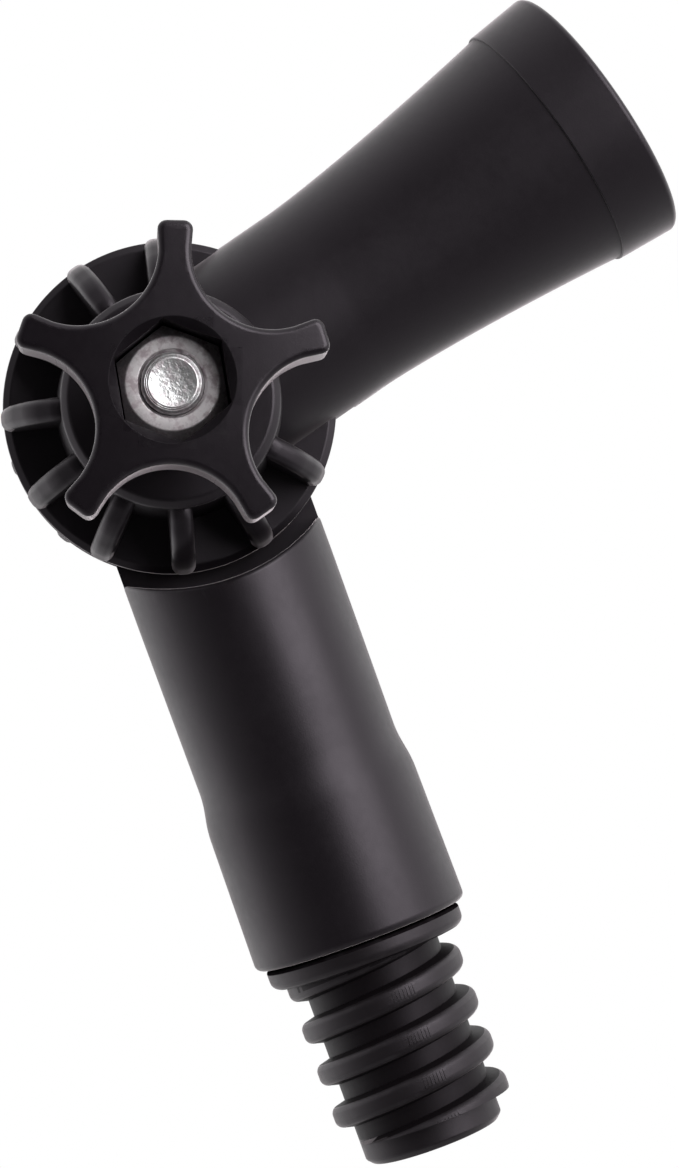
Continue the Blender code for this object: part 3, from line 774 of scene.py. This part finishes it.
def teeth(knuckle, side, phase):
    """The ring of face teeth, from the root plane towards the other disc."""
    opening = knuckle.tooth_opening / 2
    bm = bmesh.new()
    bmesh.ops.create_cube(bm, size=2)
    for vert in bm.verts:
        crest = vert.co.z > 0
        half = math.radians(TOOTH_CREST_DEG if crest else TOOTH_ROOT_DEG) * vert.co.y
        radius = TOOTH_OUTER_R if vert.co.x > 0 else TOOTH_INNER_R
        height = opening if crest else opening + knuckle.tooth_height + GAP
        vert.co = (radius * math.cos(half), radius * math.sin(half), height)
    face_outwards(bm)
    rounded(bm, lambda edge: max(heights(edge)) < opening + WELD, 0.15 * MM, 2)
    pitch = math.tau / knuckle.tooth_count
    return copies(bm, [out_frame(side) @ about("Z", phase + pitch * tooth)
                       for tooth in range(knuckle.tooth_count)])


def bolt_passage(fasteners, knuckle, side):
    """The bolt hole and the spring's pocket as one stepped cutter."""
    hole_r, pocket_r, top = fasteners.bolt_r + GAP, fasteners.spring_r + SPRING_ROOM, knuckle.hub_out + MM
    return moved(turned([(0, top), (hole_r, top), (hole_r, SPRING_POCKET_OUT), (pocket_r, SPRING_POCKET_OUT),
                         (pocket_r, -MM), (0, -MM)], SMALL_STEPS), out_frame(side))


def arm(settings, tube, side, tooth_phase):
    """Joins an arm's tube to its disc, hub, ribs and teeth. The tube keeps clear of the other arm's disc."""
    knuckle = settings.knuckle
    arc_r, root = knuckle.disc_r + knuckle.arc_clearance, root_out(knuckle)
    room = moved(rod(arc_r, root, -2 * arc_r, 4 * TUBE_STEPS), out_frame(side))
    tube = combined(tube, ("DIFFERENCE", room))

    def on_arc(edge):
        return all(max(abs(vert.co.xz.length - arc_r), abs(vert.co.xy.length - knuckle.tube_r)) < ON_SURFACE
                   for vert in edge.verts)

    rounded(tube, on_arc, knuckle.arc_round)
    return combined(
        moved(knuckle_body(knuckle), out_frame(side)),
        ("UNION", tube),
        ("UNION", ribs(knuckle, side)),
        ("UNION", teeth(knuckle, side, tooth_phase)),
        ("DIFFERENCE", bolt_passage(settings.fasteners, knuckle, side)),
    )


def pocket_width(settings):
    """Width across the flats of the pockets for the nut and the bolt's head."""
    return settings.fasteners.across_flats + 2 * settings.knob.pocket_clearance


def thread_section(tip, clearance=0.0):
    """The ridge's section, from one root to the next, about its middle."""
    half_base, half_crest = tip.base_width / 2, tip.crest_width / 2
    root_r, crest_r = tip.root_r + clearance, tip.crest_r + clearance
    return [(root_r, -half_base), (crest_r, -half_crest, tip.ridge_round),
            (crest_r, half_crest, tip.ridge_round), (root_r, half_base)]


def socket_tube(settings):
    """The flared tube with its lead-in and thread, along local Z."""
    socket, tip, tube_r, mouth = settings.socket, settings.tip, settings.knuckle.tube_r, PIVOT_TO_MOUTH
    band_start = mouth - socket.band_length
    opening = socket.band_r - socket.band_step - tube_r
    parts = [ring / FLARE_RINGS for ring in range(FLARE_RINGS, -1, -1)]
    flare = [(tube_r + opening * part ** socket.flare_power, socket.neck + (band_start - socket.neck) * part)
             for part in parts]
    outer = turned([(0, mouth), (socket.mouth_r, mouth, socket.rim_round),
                    (socket.band_r, band_start, 0.12 * MM), *flare, (tube_r, 0), (0, 0)],
                   TUBE_STEPS, longest=3 * MM, rings_from=socket.neck)
    thread_top = mouth - socket.lead_in
    bore_r = socket.mouth_r - socket.wall
    wide = bore_r + 1.2 * MM
    lead_in = turned([
        (0, mouth + MM), (wide, mouth + MM), (wide, mouth + SKIM), (bore_r, mouth, 0.4 * MM),
        (bore_r - 0.2 * MM, mouth - 2 * MM), (tip.crest_r + GAP + GAP, thread_top),
        (tip.root_r + GAP, thread_top - MM), (0, thread_top - MM),
    ], TUBE_STEPS)
    thread = threaded_bar(thread_section(tip, GAP), tip.pitch, socket.thread_end, thread_top, tip.start)
    return combined(outer, ("DIFFERENCE", lead_in), ("DIFFERENCE", thread))


def sleeve_tube(settings):
    """The plain sleeve of the threaded arm, along local Z."""
    sleeve, tube_r = settings.sleeve, settings.knuckle.tube_r
    outer = turned([
        (0, sleeve.end), (sleeve.end_r, sleeve.end, sleeve.end_round),
        (sleeve.lower_r, sleeve.step_end, 1.2 * MM), (sleeve.waist_r, sleeve.step_start, 1.2 * MM),
        (tube_r, sleeve.start), (tube_r, 0), (0, 0),
    ], TUBE_STEPS, longest=3 * MM, rings_from=sleeve.start)
    bore = lipped_hole(settings.tip.spigot_r + GAP, sleeve.end - sleeve.bore_depth, sleeve.end, FINE_ROUND)
    return combined(outer, ("DIFFERENCE", turned(bore, TUBE_STEPS)))


def knuckle_wall(knuckle, middle, normal):
    """Whether a face stands over the disc, as the hub's wall and the ribs' flanks do, inside its rim; such
    faces get the painted shade.
    """
    on_tube = middle.z > 0 and abs(middle.xy.length - knuckle.tube_r) < GAP
    return (abs(normal.y) < UPRIGHT and abs(middle.y) > disc_out(knuckle) - GAP
            and middle.xz.length < knuckle.disc_r - knuckle.rib_round and not on_tube)


def add_arm(settings, bm, arm_name, place, body):
    """Adds an arm, with the plastic for lit faces and a painted-shade copy, without bloom, for the hub's wall
    and the ribs' flanks.
    """
    knuckle, finish = settings.knuckle, settings.finish
    # Painted shade: the hub's wall and the ribs' flanks get a copy of the plastic without bloom, so they
    # render darker
    mark_painted_shade(bm, lambda middle, normal: knuckle_wall(knuckle, middle, normal))
    values = finish.arm_colour, finish.arm_roughness, 0.35
    add_piece(arm_name + "_shell", bm, place, arm_name, body, "arm_plastic",
              plastic("satin_black_plastic", *values),
              plastic("painted_shade_black_plastic", *values, finish.plastic_shine))


class ADAPTER_OT_socket_arm(bpy.types.Operator):
    """Models the flared socket arm with its disc, hub, ribs and teeth"""

    bl_idname = "pole_adapter.socket_arm"
    bl_label = "Socket Arm"

    def execute(self, context):
        settings = context.scene.pole_adapter
        bm = arm(settings, socket_tube(settings), FRONT, 0)
        add_arm(settings, bm, "socket_arm", SOCKET_FRAME, "socket_body")
        return {"FINISHED"}


class ADAPTER_OT_thread_arm(bpy.types.Operator):
    """Models the sleeve arm with its disc, hub, ribs, teeth and the pocket for the bolt's head"""

    bl_idname = "pole_adapter.thread_arm"
    bl_label = "Thread Arm"

    def execute(self, context):
        settings = context.scene.pole_adapter
        fasteners, knuckle = settings.fasteners, settings.knuckle
        phase = math.pi / knuckle.tooth_count + math.radians(REST_BEND_DEG)
        bm = arm(settings, sleeve_tube(settings), REAR, phase)
        pocket = hexagon(pocket_width(settings), fasteners.bolt_seat, knuckle.hub_out + MM, 0)
        bm = combined(bm, ("DIFFERENCE", moved(pocket, out_frame(REAR))))
        add_arm(settings, bm, "thread_arm", THREAD_FRAME, "thread_body")
        return {"FINISHED"}


class ADAPTER_OT_threaded_tip(bpy.types.Operator):
    """Models the threaded tip with its spigot and collar"""

    bl_idname = "pole_adapter.threaded_tip"
    bl_label = "Threaded Tip"

    def execute(self, context):
        settings = context.scene.pole_adapter
        tip, finish = settings.tip, settings.finish
        collar_start = settings.sleeve.end + GAP
        spigot_end = collar_start - tip.spigot_length
        thread_end = THREAD_START + tip.thread_length
        core_r = tip.root_r - GAP
        body = turned([
            (0, TIP_END), (tip.plain_r - tip.end_chamfer, TIP_END, 0.2 * MM),
            (tip.plain_r, TIP_END - tip.end_chamfer, 0.2 * MM), (tip.plain_r, thread_end - GAP),
            (core_r, thread_end - GAP), (core_r, THREAD_START),
            (tip.collar_r, THREAD_START, tip.collar_round), (tip.collar_r, collar_start, COLLAR_EDGE),
            (tip.spigot_r, collar_start), (tip.spigot_r, spigot_end, 0.6 * MM), (0, spigot_end),
        ], TUBE_STEPS, longest=4 * MM)
        ridge = threaded_bar(thread_section(tip), tip.pitch, THREAD_START - GAP, thread_end, tip.start)
        hole = rod(tip.hole_r, spigot_end - MM, spigot_end + tip.hole_depth, SMALL_STEPS)
        notch = bmesh.new()
        bmesh.ops.create_cube(notch, size=1)
        moved(notch, shift(tip.crest_r - tip.notch_depth + MM, 0, (THREAD_START + thread_end) / 2)
              @ Matrix.Diagonal((2 * MM, tip.notch_width, tip.thread_length, 1)))
        notches = copies(notch, [about("Z", tip.notch_first + tip.notch_step * place)
                                 for place in range(tip.notch_count)])
        bm = combined(body, ("UNION", ridge), ("DIFFERENCE", hole), ("DIFFERENCE", notches))
        flank_top = tip.crest_r - tip.ridge_round * 0.6
        face_r = tip.collar_r - tip.collar_round / 2

        # Painted shade: the roots, flanks and the collar's face between the ridges get a plastic copy with a
        # low specular level and no bloom, and the collar's face by the sleeve one with no specular level at
        # all, so they render dark
        def between_ridges(middle, _):
            radius = middle.xy.length
            beside_ridge = THREAD_START < middle.z < thread_end - GAP and radius < flank_top
            collar_face = abs(middle.z - THREAD_START) < GAP and radius < face_r
            return radius > core_r and (beside_ridge or collar_face)

        def by_sleeve(middle, _):
            return middle.z < collar_start + COLLAR_EDGE

        mark_painted_shade(bm, between_ridges, by_sleeve)
        values = finish.thread_colour, finish.thread_roughness, 0.5
        add_piece("threaded_tip_body", bm, THREAD_FRAME, "threaded_tip", "thread_body", "thread_plastic",
                  plastic("moulded_thread_plastic", *values),
                  plastic("painted_shade_root_plastic", *values, finish.painted_shade_recess_shine),
                  plastic("painted_shade_collar_plastic", *values, 0.0))
        return {"FINISHED"}


# Knob, fasteners and spring


def crowned(bm, height, radius, drop):
    """Dices a plate and lets its upper half fall away from the axis."""
    cell = radius / DICE
    for axis in (Vector((1, 0, 0)), Vector((0, 1, 0))):
        for line in range(1 - DICE, DICE):
            bmesh.ops.bisect_plane(bm, geom=everything(bm), dist=WELD, plane_no=axis,
                                   plane_co=axis * cell * (line + DICE_SHIFT))
    for vert in bm.verts:
        vert.co.z -= drop * (vert.co.xy.length / radius) ** 2 * max(2 * vert.co.z / height - 1, 0)


def star_plate(knob):
    """The star's outline: round scallops that run into narrow lobes, raised to the star's height."""
    half_step = math.pi / knob.lobes
    scallop_r = knob.scallop_r * math.sin(half_step) - knob.neck_half
    sweep = math.pi / 2 - half_step
    bm = bmesh.new()
    ends = []
    for lobe in range(knob.lobes):
        middle = 2 * half_step * lobe
        turned_by = Matrix.Rotation(middle, 3, "Z")
        tips = [bm.verts.new(turned_by @ Vector((knob.star_r, half, 0)))
                for half in (-knob.tip_half, knob.tip_half)]
        centre = turned_by @ Vector((math.cos(half_step), math.sin(half_step), 0)) * knob.scallop_r
        facing = middle + half_step + math.pi + sweep
        first = bm.verts.new(centre + Vector((math.cos(facing), math.sin(facing), 0)) * scallop_r)
        arc = bmesh.ops.spin(bm, geom=[first], cent=centre, axis=(0, 0, 1), angle=-2 * sweep, steps=ARC_STEPS)
        bm.edges.new(tips)
        bm.edges.new((tips[1], first))
        ends.append((tips, verts_in(arc["geom_last"])[0]))
    for place, (tips, last) in enumerate(ends):
        bm.edges.new((last, ends[(place + 1) % knob.lobes][0][0]))
    round_corners(bm, [(tip, knob.tip_round) for tips, _ in ends for tip in tips])
    raised(bm, knob.star_height)
    rounded(bm, lambda edge: min(heights(edge)) > knob.star_height / 2, knob.edge_round, 7)
    rounded(bm, lambda edge: max(heights(edge)) < WELD, 0.4 * MM, 3)
    crowned(bm, knob.star_height, knob.star_r, knob.crown)
    return bm


class ADAPTER_OT_star_knob(bpy.types.Operator):
    """Models the star knob with its nut pocket and countersink"""

    bl_idname = "pole_adapter.star_knob"
    bl_label = "Star Knob"

    def execute(self, context):
        settings = context.scene.pole_adapter
        knob, fasteners, finish = settings.knob, settings.fasteners, settings.finish
        top, above, stem_foot = KNOB_TOP_OUT, KNOB_TOP_OUT + MM, WASHER_TOP_OUT + GAP
        star = moved(star_plate(knob), shift(0, 0, top - knob.star_height)
                     @ about("Z", knob.first_lobe - math.pi / 2))
        inside_star = top - knob.star_height / 2
        stem = turned([(0, inside_star), (knob.stem_r, inside_star), (knob.stem_r, stem_foot, 0.4 * MM),
                       (0, stem_foot)], TUBE_STEPS)
        bore = rod(fasteners.bolt_r + GAP, 0, above, SMALL_STEPS)
        width = pocket_width(settings)
        pocket = hexagon(width, NUT_FOOT_OUT - GAP, above, knob.pocket_corner - math.pi / 2)
        depth, lip = knob.countersink_depth, 0.35 * MM
        wide = knob.countersink_r + 3 * lip
        countersink = turned([
            (0, top - depth), (fasteners.across_flats / 2, top - depth), (knob.countersink_r, top, lip),
            (wide, top + SKIM), (wide, above), (0, above),
        ], TUBE_STEPS)
        bm = combined(star, ("UNION", stem), ("DIFFERENCE", bore), ("DIFFERENCE", pocket),
                      ("DIFFERENCE", countersink))
        pocket_r = width / math.sqrt(3) + GAP
        # Painted shade: the pocket's walls get a plastic copy with a low specular level and no bloom, so they
        # render dark
        mark_painted_shade(bm, lambda middle, _: NUT_FOOT_OUT - 2 * GAP < middle.z < top - GAP
                       and middle.xy.length < pocket_r)
        values = finish.knob_colour, finish.knob_roughness, 0.4
        add_piece("star_knob_body", bm, PIVOT @ out_frame(FRONT), "star_knob", "knob_body", "knob_plastic",
                  plastic("moulded_knob_plastic", *values),
                  plastic("painted_shade_pocket_plastic", *values, finish.painted_shade_recess_shine))
        return {"FINISHED"}


def chamfered_hexagon(fasteners, low, high, corner, both_ends):
    """A turned bar with a cone on its end, or on both, cut to a hexagon."""
    wide = fasteners.across_flats / math.sqrt(3) + MM
    drop = (wide - fasteners.chamfer_r) * math.tan(fasteners.chamfer_slope)
    flat_top = (fasteners.chamfer_r, high, 0.15 * MM)
    foot = [(wide, low + drop), (fasteners.chamfer_r, low, 0.15 * MM)] if both_ends else [(wide, low)]
    bm = turned([(0, high), flat_top, (wide, high - drop), *foot, (0, low)], TUBE_STEPS)
    for flat in range(6):
        normal = about("Z", corner + math.pi / 6 + math.pi / 3 * flat) @ Vector((1, 0, 0))
        cut_off(bm, normal * fasteners.across_flats / 2, normal)
        close_cuts(bm)
    return bm


class ADAPTER_OT_hex_nut(bpy.types.Operator):
    """Models the nut in the knob"""

    bl_idname = "pole_adapter.hex_nut"
    bl_label = "Hex Nut"

    def execute(self, context):
        settings = context.scene.pole_adapter
        fasteners, finish = settings.fasteners, settings.finish
        low, high = NUT_FOOT_OUT, NUT_TOP_OUT
        bar = chamfered_hexagon(fasteners, low, high, settings.knob.pocket_corner - math.pi / 2, True)
        hole_r, mouth_r = fasteners.bolt_r + 0.1 * MM, fasteners.bolt_r + 0.45 * MM
        wide = mouth_r + FINE_ROUND
        bore = turned([(0, low - MM), (hole_r, low - MM), (hole_r, high - FINE_ROUND),
                       (mouth_r, high, 0.08 * MM), (wide, high + SKIM), (wide, high + MM), (0, high + MM)],
                      SMALL_STEPS)
        add_piece("hex_nut_body", combined(bar, ("DIFFERENCE", bore)), PIVOT @ out_frame(FRONT), "hex_nut",
                  "knob_body", "zinc_steel",
                  plated("zinc_plated_steel", finish.zinc_colour, finish.zinc_roughness))
        return {"FINISHED"}


class ADAPTER_OT_pivot_bolt(bpy.types.Operator):
    """Models the through bolt with its head and cupped end"""

    bl_idname = "pole_adapter.pivot_bolt"
    bl_label = "Pivot Bolt"

    def execute(self, context):
        settings = context.scene.pole_adapter
        fasteners, finish = settings.fasteners, settings.finish
        bolt_r, tip_r, cup_r = fasteners.bolt_r, fasteners.bolt_tip_r, fasteners.cup_r
        seat, end = fasteners.bolt_seat + GAP, -BOLT_END_OUT
        head = chamfered_hexagon(fasteners, seat, HEAD_TOP_OUT, 0, False)
        shank = turned([
            (0, seat + MM), (bolt_r, seat + MM), (bolt_r, end + 0.75 * MM, 0.1 * MM),
            (tip_r, end + 0.22 * MM, 0.1 * MM), (tip_r - 0.20 * MM, end + 0.13 * MM),
            (tip_r - 0.24 * MM, end + 0.17 * MM), (tip_r - 0.42 * MM, end + 0.06 * MM),
            (tip_r - 0.46 * MM, end + 0.09 * MM), (cup_r + 0.12 * MM, end, 0.08 * MM),
            (cup_r, end + 0.03 * MM, 0.06 * MM), (cup_r * 0.55, end + 0.8 * fasteners.cup_depth, 0.6 * MM),
            (0, end + fasteners.cup_depth),
        ], SMALL_STEPS)
        bm = combined(head, ("UNION", shank))
        pitted = bm.faces.layers.float.new("pitted")
        for face in bm.faces:
            middle = face.calc_center_median()
            if middle.z < end + fasteners.cup_depth + MM / 10 and middle.xy.length < cup_r:
                face[pitted] = 1.0
        add_piece("pivot_bolt_body", bm, THREAD_FRAME @ out_frame(REAR), "pivot_bolt", "thread_body",
                  "zinc_steel", plated("bright_zinc_steel", finish.bolt_colour, finish.bolt_roughness, 2.5))
        return {"FINISHED"}


class ADAPTER_OT_washer(bpy.types.Operator):
    """Models the washer between the knob and the hub"""

    bl_idname = "pole_adapter.washer"
    bl_label = "Knob Washer"

    def execute(self, context):
        settings = context.scene.pole_adapter
        fasteners, finish = settings.fasteners, settings.finish
        hole_r, outer_r = fasteners.bolt_r + GAP, fasteners.washer_r
        low, high, edge = WASHER_FOOT_OUT, WASHER_TOP_OUT, 0.12 * MM
        bm = turned([(hole_r, high, edge), (outer_r, high, FINE_ROUND), (outer_r, low, edge),
                     (hole_r, low, edge)], SMALL_STEPS, closed=True)
        add_piece("knob_washer_ring", bm, PIVOT @ out_frame(FRONT), "knob_washer", "clamp_stack",
                  "zinc_steel", plated("zinc_plated_steel", finish.zinc_colour, finish.zinc_roughness))
        return {"FINISHED"}


class ADAPTER_OT_spring(bpy.types.Operator):
    """Models the release spring"""

    bl_idname = "pole_adapter.spring"
    bl_label = "Release Spring"

    def execute(self, context):
        settings = context.scene.pole_adapter
        finish, wire_r = settings.finish, settings.fasteners.wire_r
        reach = SPRING_HALF - wire_r
        closed_rise = 2.1 * wire_r
        bm = bmesh.new()
        bmesh.ops.create_circle(bm, cap_ends=False, segments=16, radius=wire_r)
        moved(bm, shift(settings.fasteners.spring_r, 0, -reach) @ about("X", math.pi / 2))
        ring = bm.verts[:] + bm.edges[:]
        for turns, rise in ((1, closed_rise), (2, 2 * reach - 2 * closed_rise), (1, closed_rise)):
            steps = SMALL_STEPS * turns
            ring = bmesh.ops.spin(bm, geom=ring, cent=(0, 0, 0), axis=(0, 0, 1), dvec=(0, 0, rise / steps),
                                  angle=math.tau * turns, steps=steps)["geom_last"]
        close_cuts(bm)
        steel = plated("drawn_spring_steel", finish.steel_colour, finish.zinc_roughness, 0.0)
        obj = add_piece("release_spring_coil", bm, PIVOT @ out_frame(REAR), "release_spring", None,
                        "spring_steel", steel)
        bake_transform(obj)
        return {"FINISHED"}


# Stage


def softbox(name, facing, clock, side, distance, size, power):
    """An area lamp aimed at the pivot, at an angle from the camera's direction on one side of the view."""
    light = bpy.data.lights.new(name, "AREA")
    light.shape = "RECTANGLE"
    light.size, light.size_y = size
    light.energy = power
    turned_to = facing @ about("Z", clock) @ about("Y", side)
    linked_object(name, light).matrix_world = shift(*PIVOT_POINT) @ turned_to @ shift(0, 0, distance)


def add_camera(scene, studio, facing):
    data = bpy.data.cameras.new("view_camera")
    data.sensor_width = 36
    data.lens = studio.lens
    data.clip_start = 0.01
    scene.camera = linked_object("view_camera", data)
    scene.camera.matrix_world = (shift(*PIVOT_POINT) @ facing
                                 @ shift(studio.aim_right, -studio.aim_down, studio.distance))


def ray_kinds(tree):
    """Whether a ray is the camera's, and whether it is one that gloss or glass sends."""
    path = tree.nodes.new("ShaderNodeLightPath").outputs
    bounced = math_node(tree, "MAXIMUM", path["Is Glossy Ray"], path["Is Transmission Ray"])
    return path["Is Camera Ray"], bounced


def add_room(scene, studio, facing):
    """White to the camera, a room with a dark and a dim side to gloss, and level light to matt surfaces."""
    scene.world = bpy.data.worlds.new("studio_room")
    scene.world.use_nodes = True
    tree = scene.world.node_tree
    seen, mirrored = ray_kinds(tree)
    direction = tree.nodes.new("ShaderNodeTexCoord").outputs["Generated"]
    towards_camera = facing @ Vector((0, 0, 1))
    towards_dim_wall = facing @ about("Z", studio.dim_clock) @ Vector((1, 0, 0))
    ahead, aside = along(tree, direction, towards_camera), along(tree, direction, towards_dim_wall)
    gloss = product(tree, map_range(tree, ahead, -0.15, 0.85, 1.0, studio.dark_side),
                    map_range(tree, aside, 0.2, 0.8, 1.0, studio.dim_level))
    matt = product(tree, math_node(tree, "SUBTRACT", 1.0, mirrored), studio.room_level)
    level = math_node(tree, "ADD", product(tree, mirrored, gloss), matt)
    background = tree.nodes["Background"].inputs
    background["Color"].default_value = WHITE
    feed(tree, background["Strength"], math_node(tree, "MAXIMUM", level, seen))


def add_floor(studio):
    bm = bmesh.new()
    bmesh.ops.create_grid(bm, x_segments=2, y_segments=2, size=2.5)
    floor = linked_object("studio_floor", as_mesh("studio_floor", moved(bm, shift(0, 0, -studio.floor_drop))))

    def inputs_of(tree, _):
        return {
            "Base Color": (*studio.floor_colour, 1),
            "Roughness": 0.9,
            "Specular IOR Level": 0.0,
            "Emission Color": WHITE,
            "Emission Strength": product(tree, math_node(tree, "MAXIMUM", *ray_kinds(tree)), 0.7),
        }

    floor.data.materials.append(shaded("pale_floor", inputs_of))


class ADAPTER_OT_stage(bpy.types.Operator):
    """Sets up the camera, the pale floor, the room and the softboxes"""

    bl_idname = "pole_adapter.stage"
    bl_label = "Stage"

    def execute(self, context):
        scene = context.scene
        studio = scene.pole_adapter.studio
        facing = (about("X", math.pi / 2) @ about("Z", -studio.roll) @ about("Y", -studio.turn_side)
                  @ about("X", studio.turn_up))
        add_camera(scene, studio, facing)
        scene.view_settings.view_transform = "Standard"
        key_clock, wide = studio.key_clock, (0.70, 0.80)
        softbox("key_softbox", facing, key_clock, studio.key_side, 0.62, (0.46, 0.64), studio.key_power)
        softbox("rim_softbox", facing, key_clock, math.radians(115), 0.70, wide, studio.rim_power)
        softbox("fill_softbox", facing, math.radians(200), math.radians(112), 0.70, wide, studio.fill_power)
        add_room(scene, studio, facing)
        add_floor(studio)
        return {"FINISHED"}


class ADAPTER_PT_panel(bpy.types.Panel):
    bl_idname = "ADAPTER_PT_panel"
    bl_label = "Pole Angle Adapter"
    bl_space_type = "VIEW_3D"
    bl_region_type = "UI"
    bl_category = "Adapter"

    def draw(self, context):
        for operator in OPERATORS:
            self.layout.operator(operator.bl_idname)
        settings = context.scene.pole_adapter
        for name in AdapterSettings.__annotations__:
            box = self.layout.box()
            box.label(text=name.title())
            group = getattr(settings, name)
            for item in group.__annotations__:
                box.prop(group, item)


SETTINGS = (KnuckleSettings, SocketSettings, SleeveSettings, TipSettings, KnobSettings, FastenerSettings,
            FinishSettings, StudioSettings, AdapterSettings)
OPERATORS = (ADAPTER_OT_stage, ADAPTER_OT_socket_arm, ADAPTER_OT_thread_arm, ADAPTER_OT_threaded_tip,
             ADAPTER_OT_star_knob, ADAPTER_OT_hex_nut, ADAPTER_OT_pivot_bolt, ADAPTER_OT_washer,
             ADAPTER_OT_spring)


def register():
    for item in (*SETTINGS, *OPERATORS, ADAPTER_PT_panel):
        bpy.utils.register_class(item)
    bpy.types.Scene.pole_adapter = PointerProperty(type=AdapterSettings)


def unregister():
    del bpy.types.Scene.pole_adapter
    for item in reversed((*SETTINGS, *OPERATORS, ADAPTER_PT_panel)):
        bpy.utils.unregister_class(item)


def main():
    register()
    for operator in OPERATORS:
        getattr(bpy.ops.pole_adapter, operator.bl_idname.split(".")[1])()


if __name__ == "__main__":
    main()
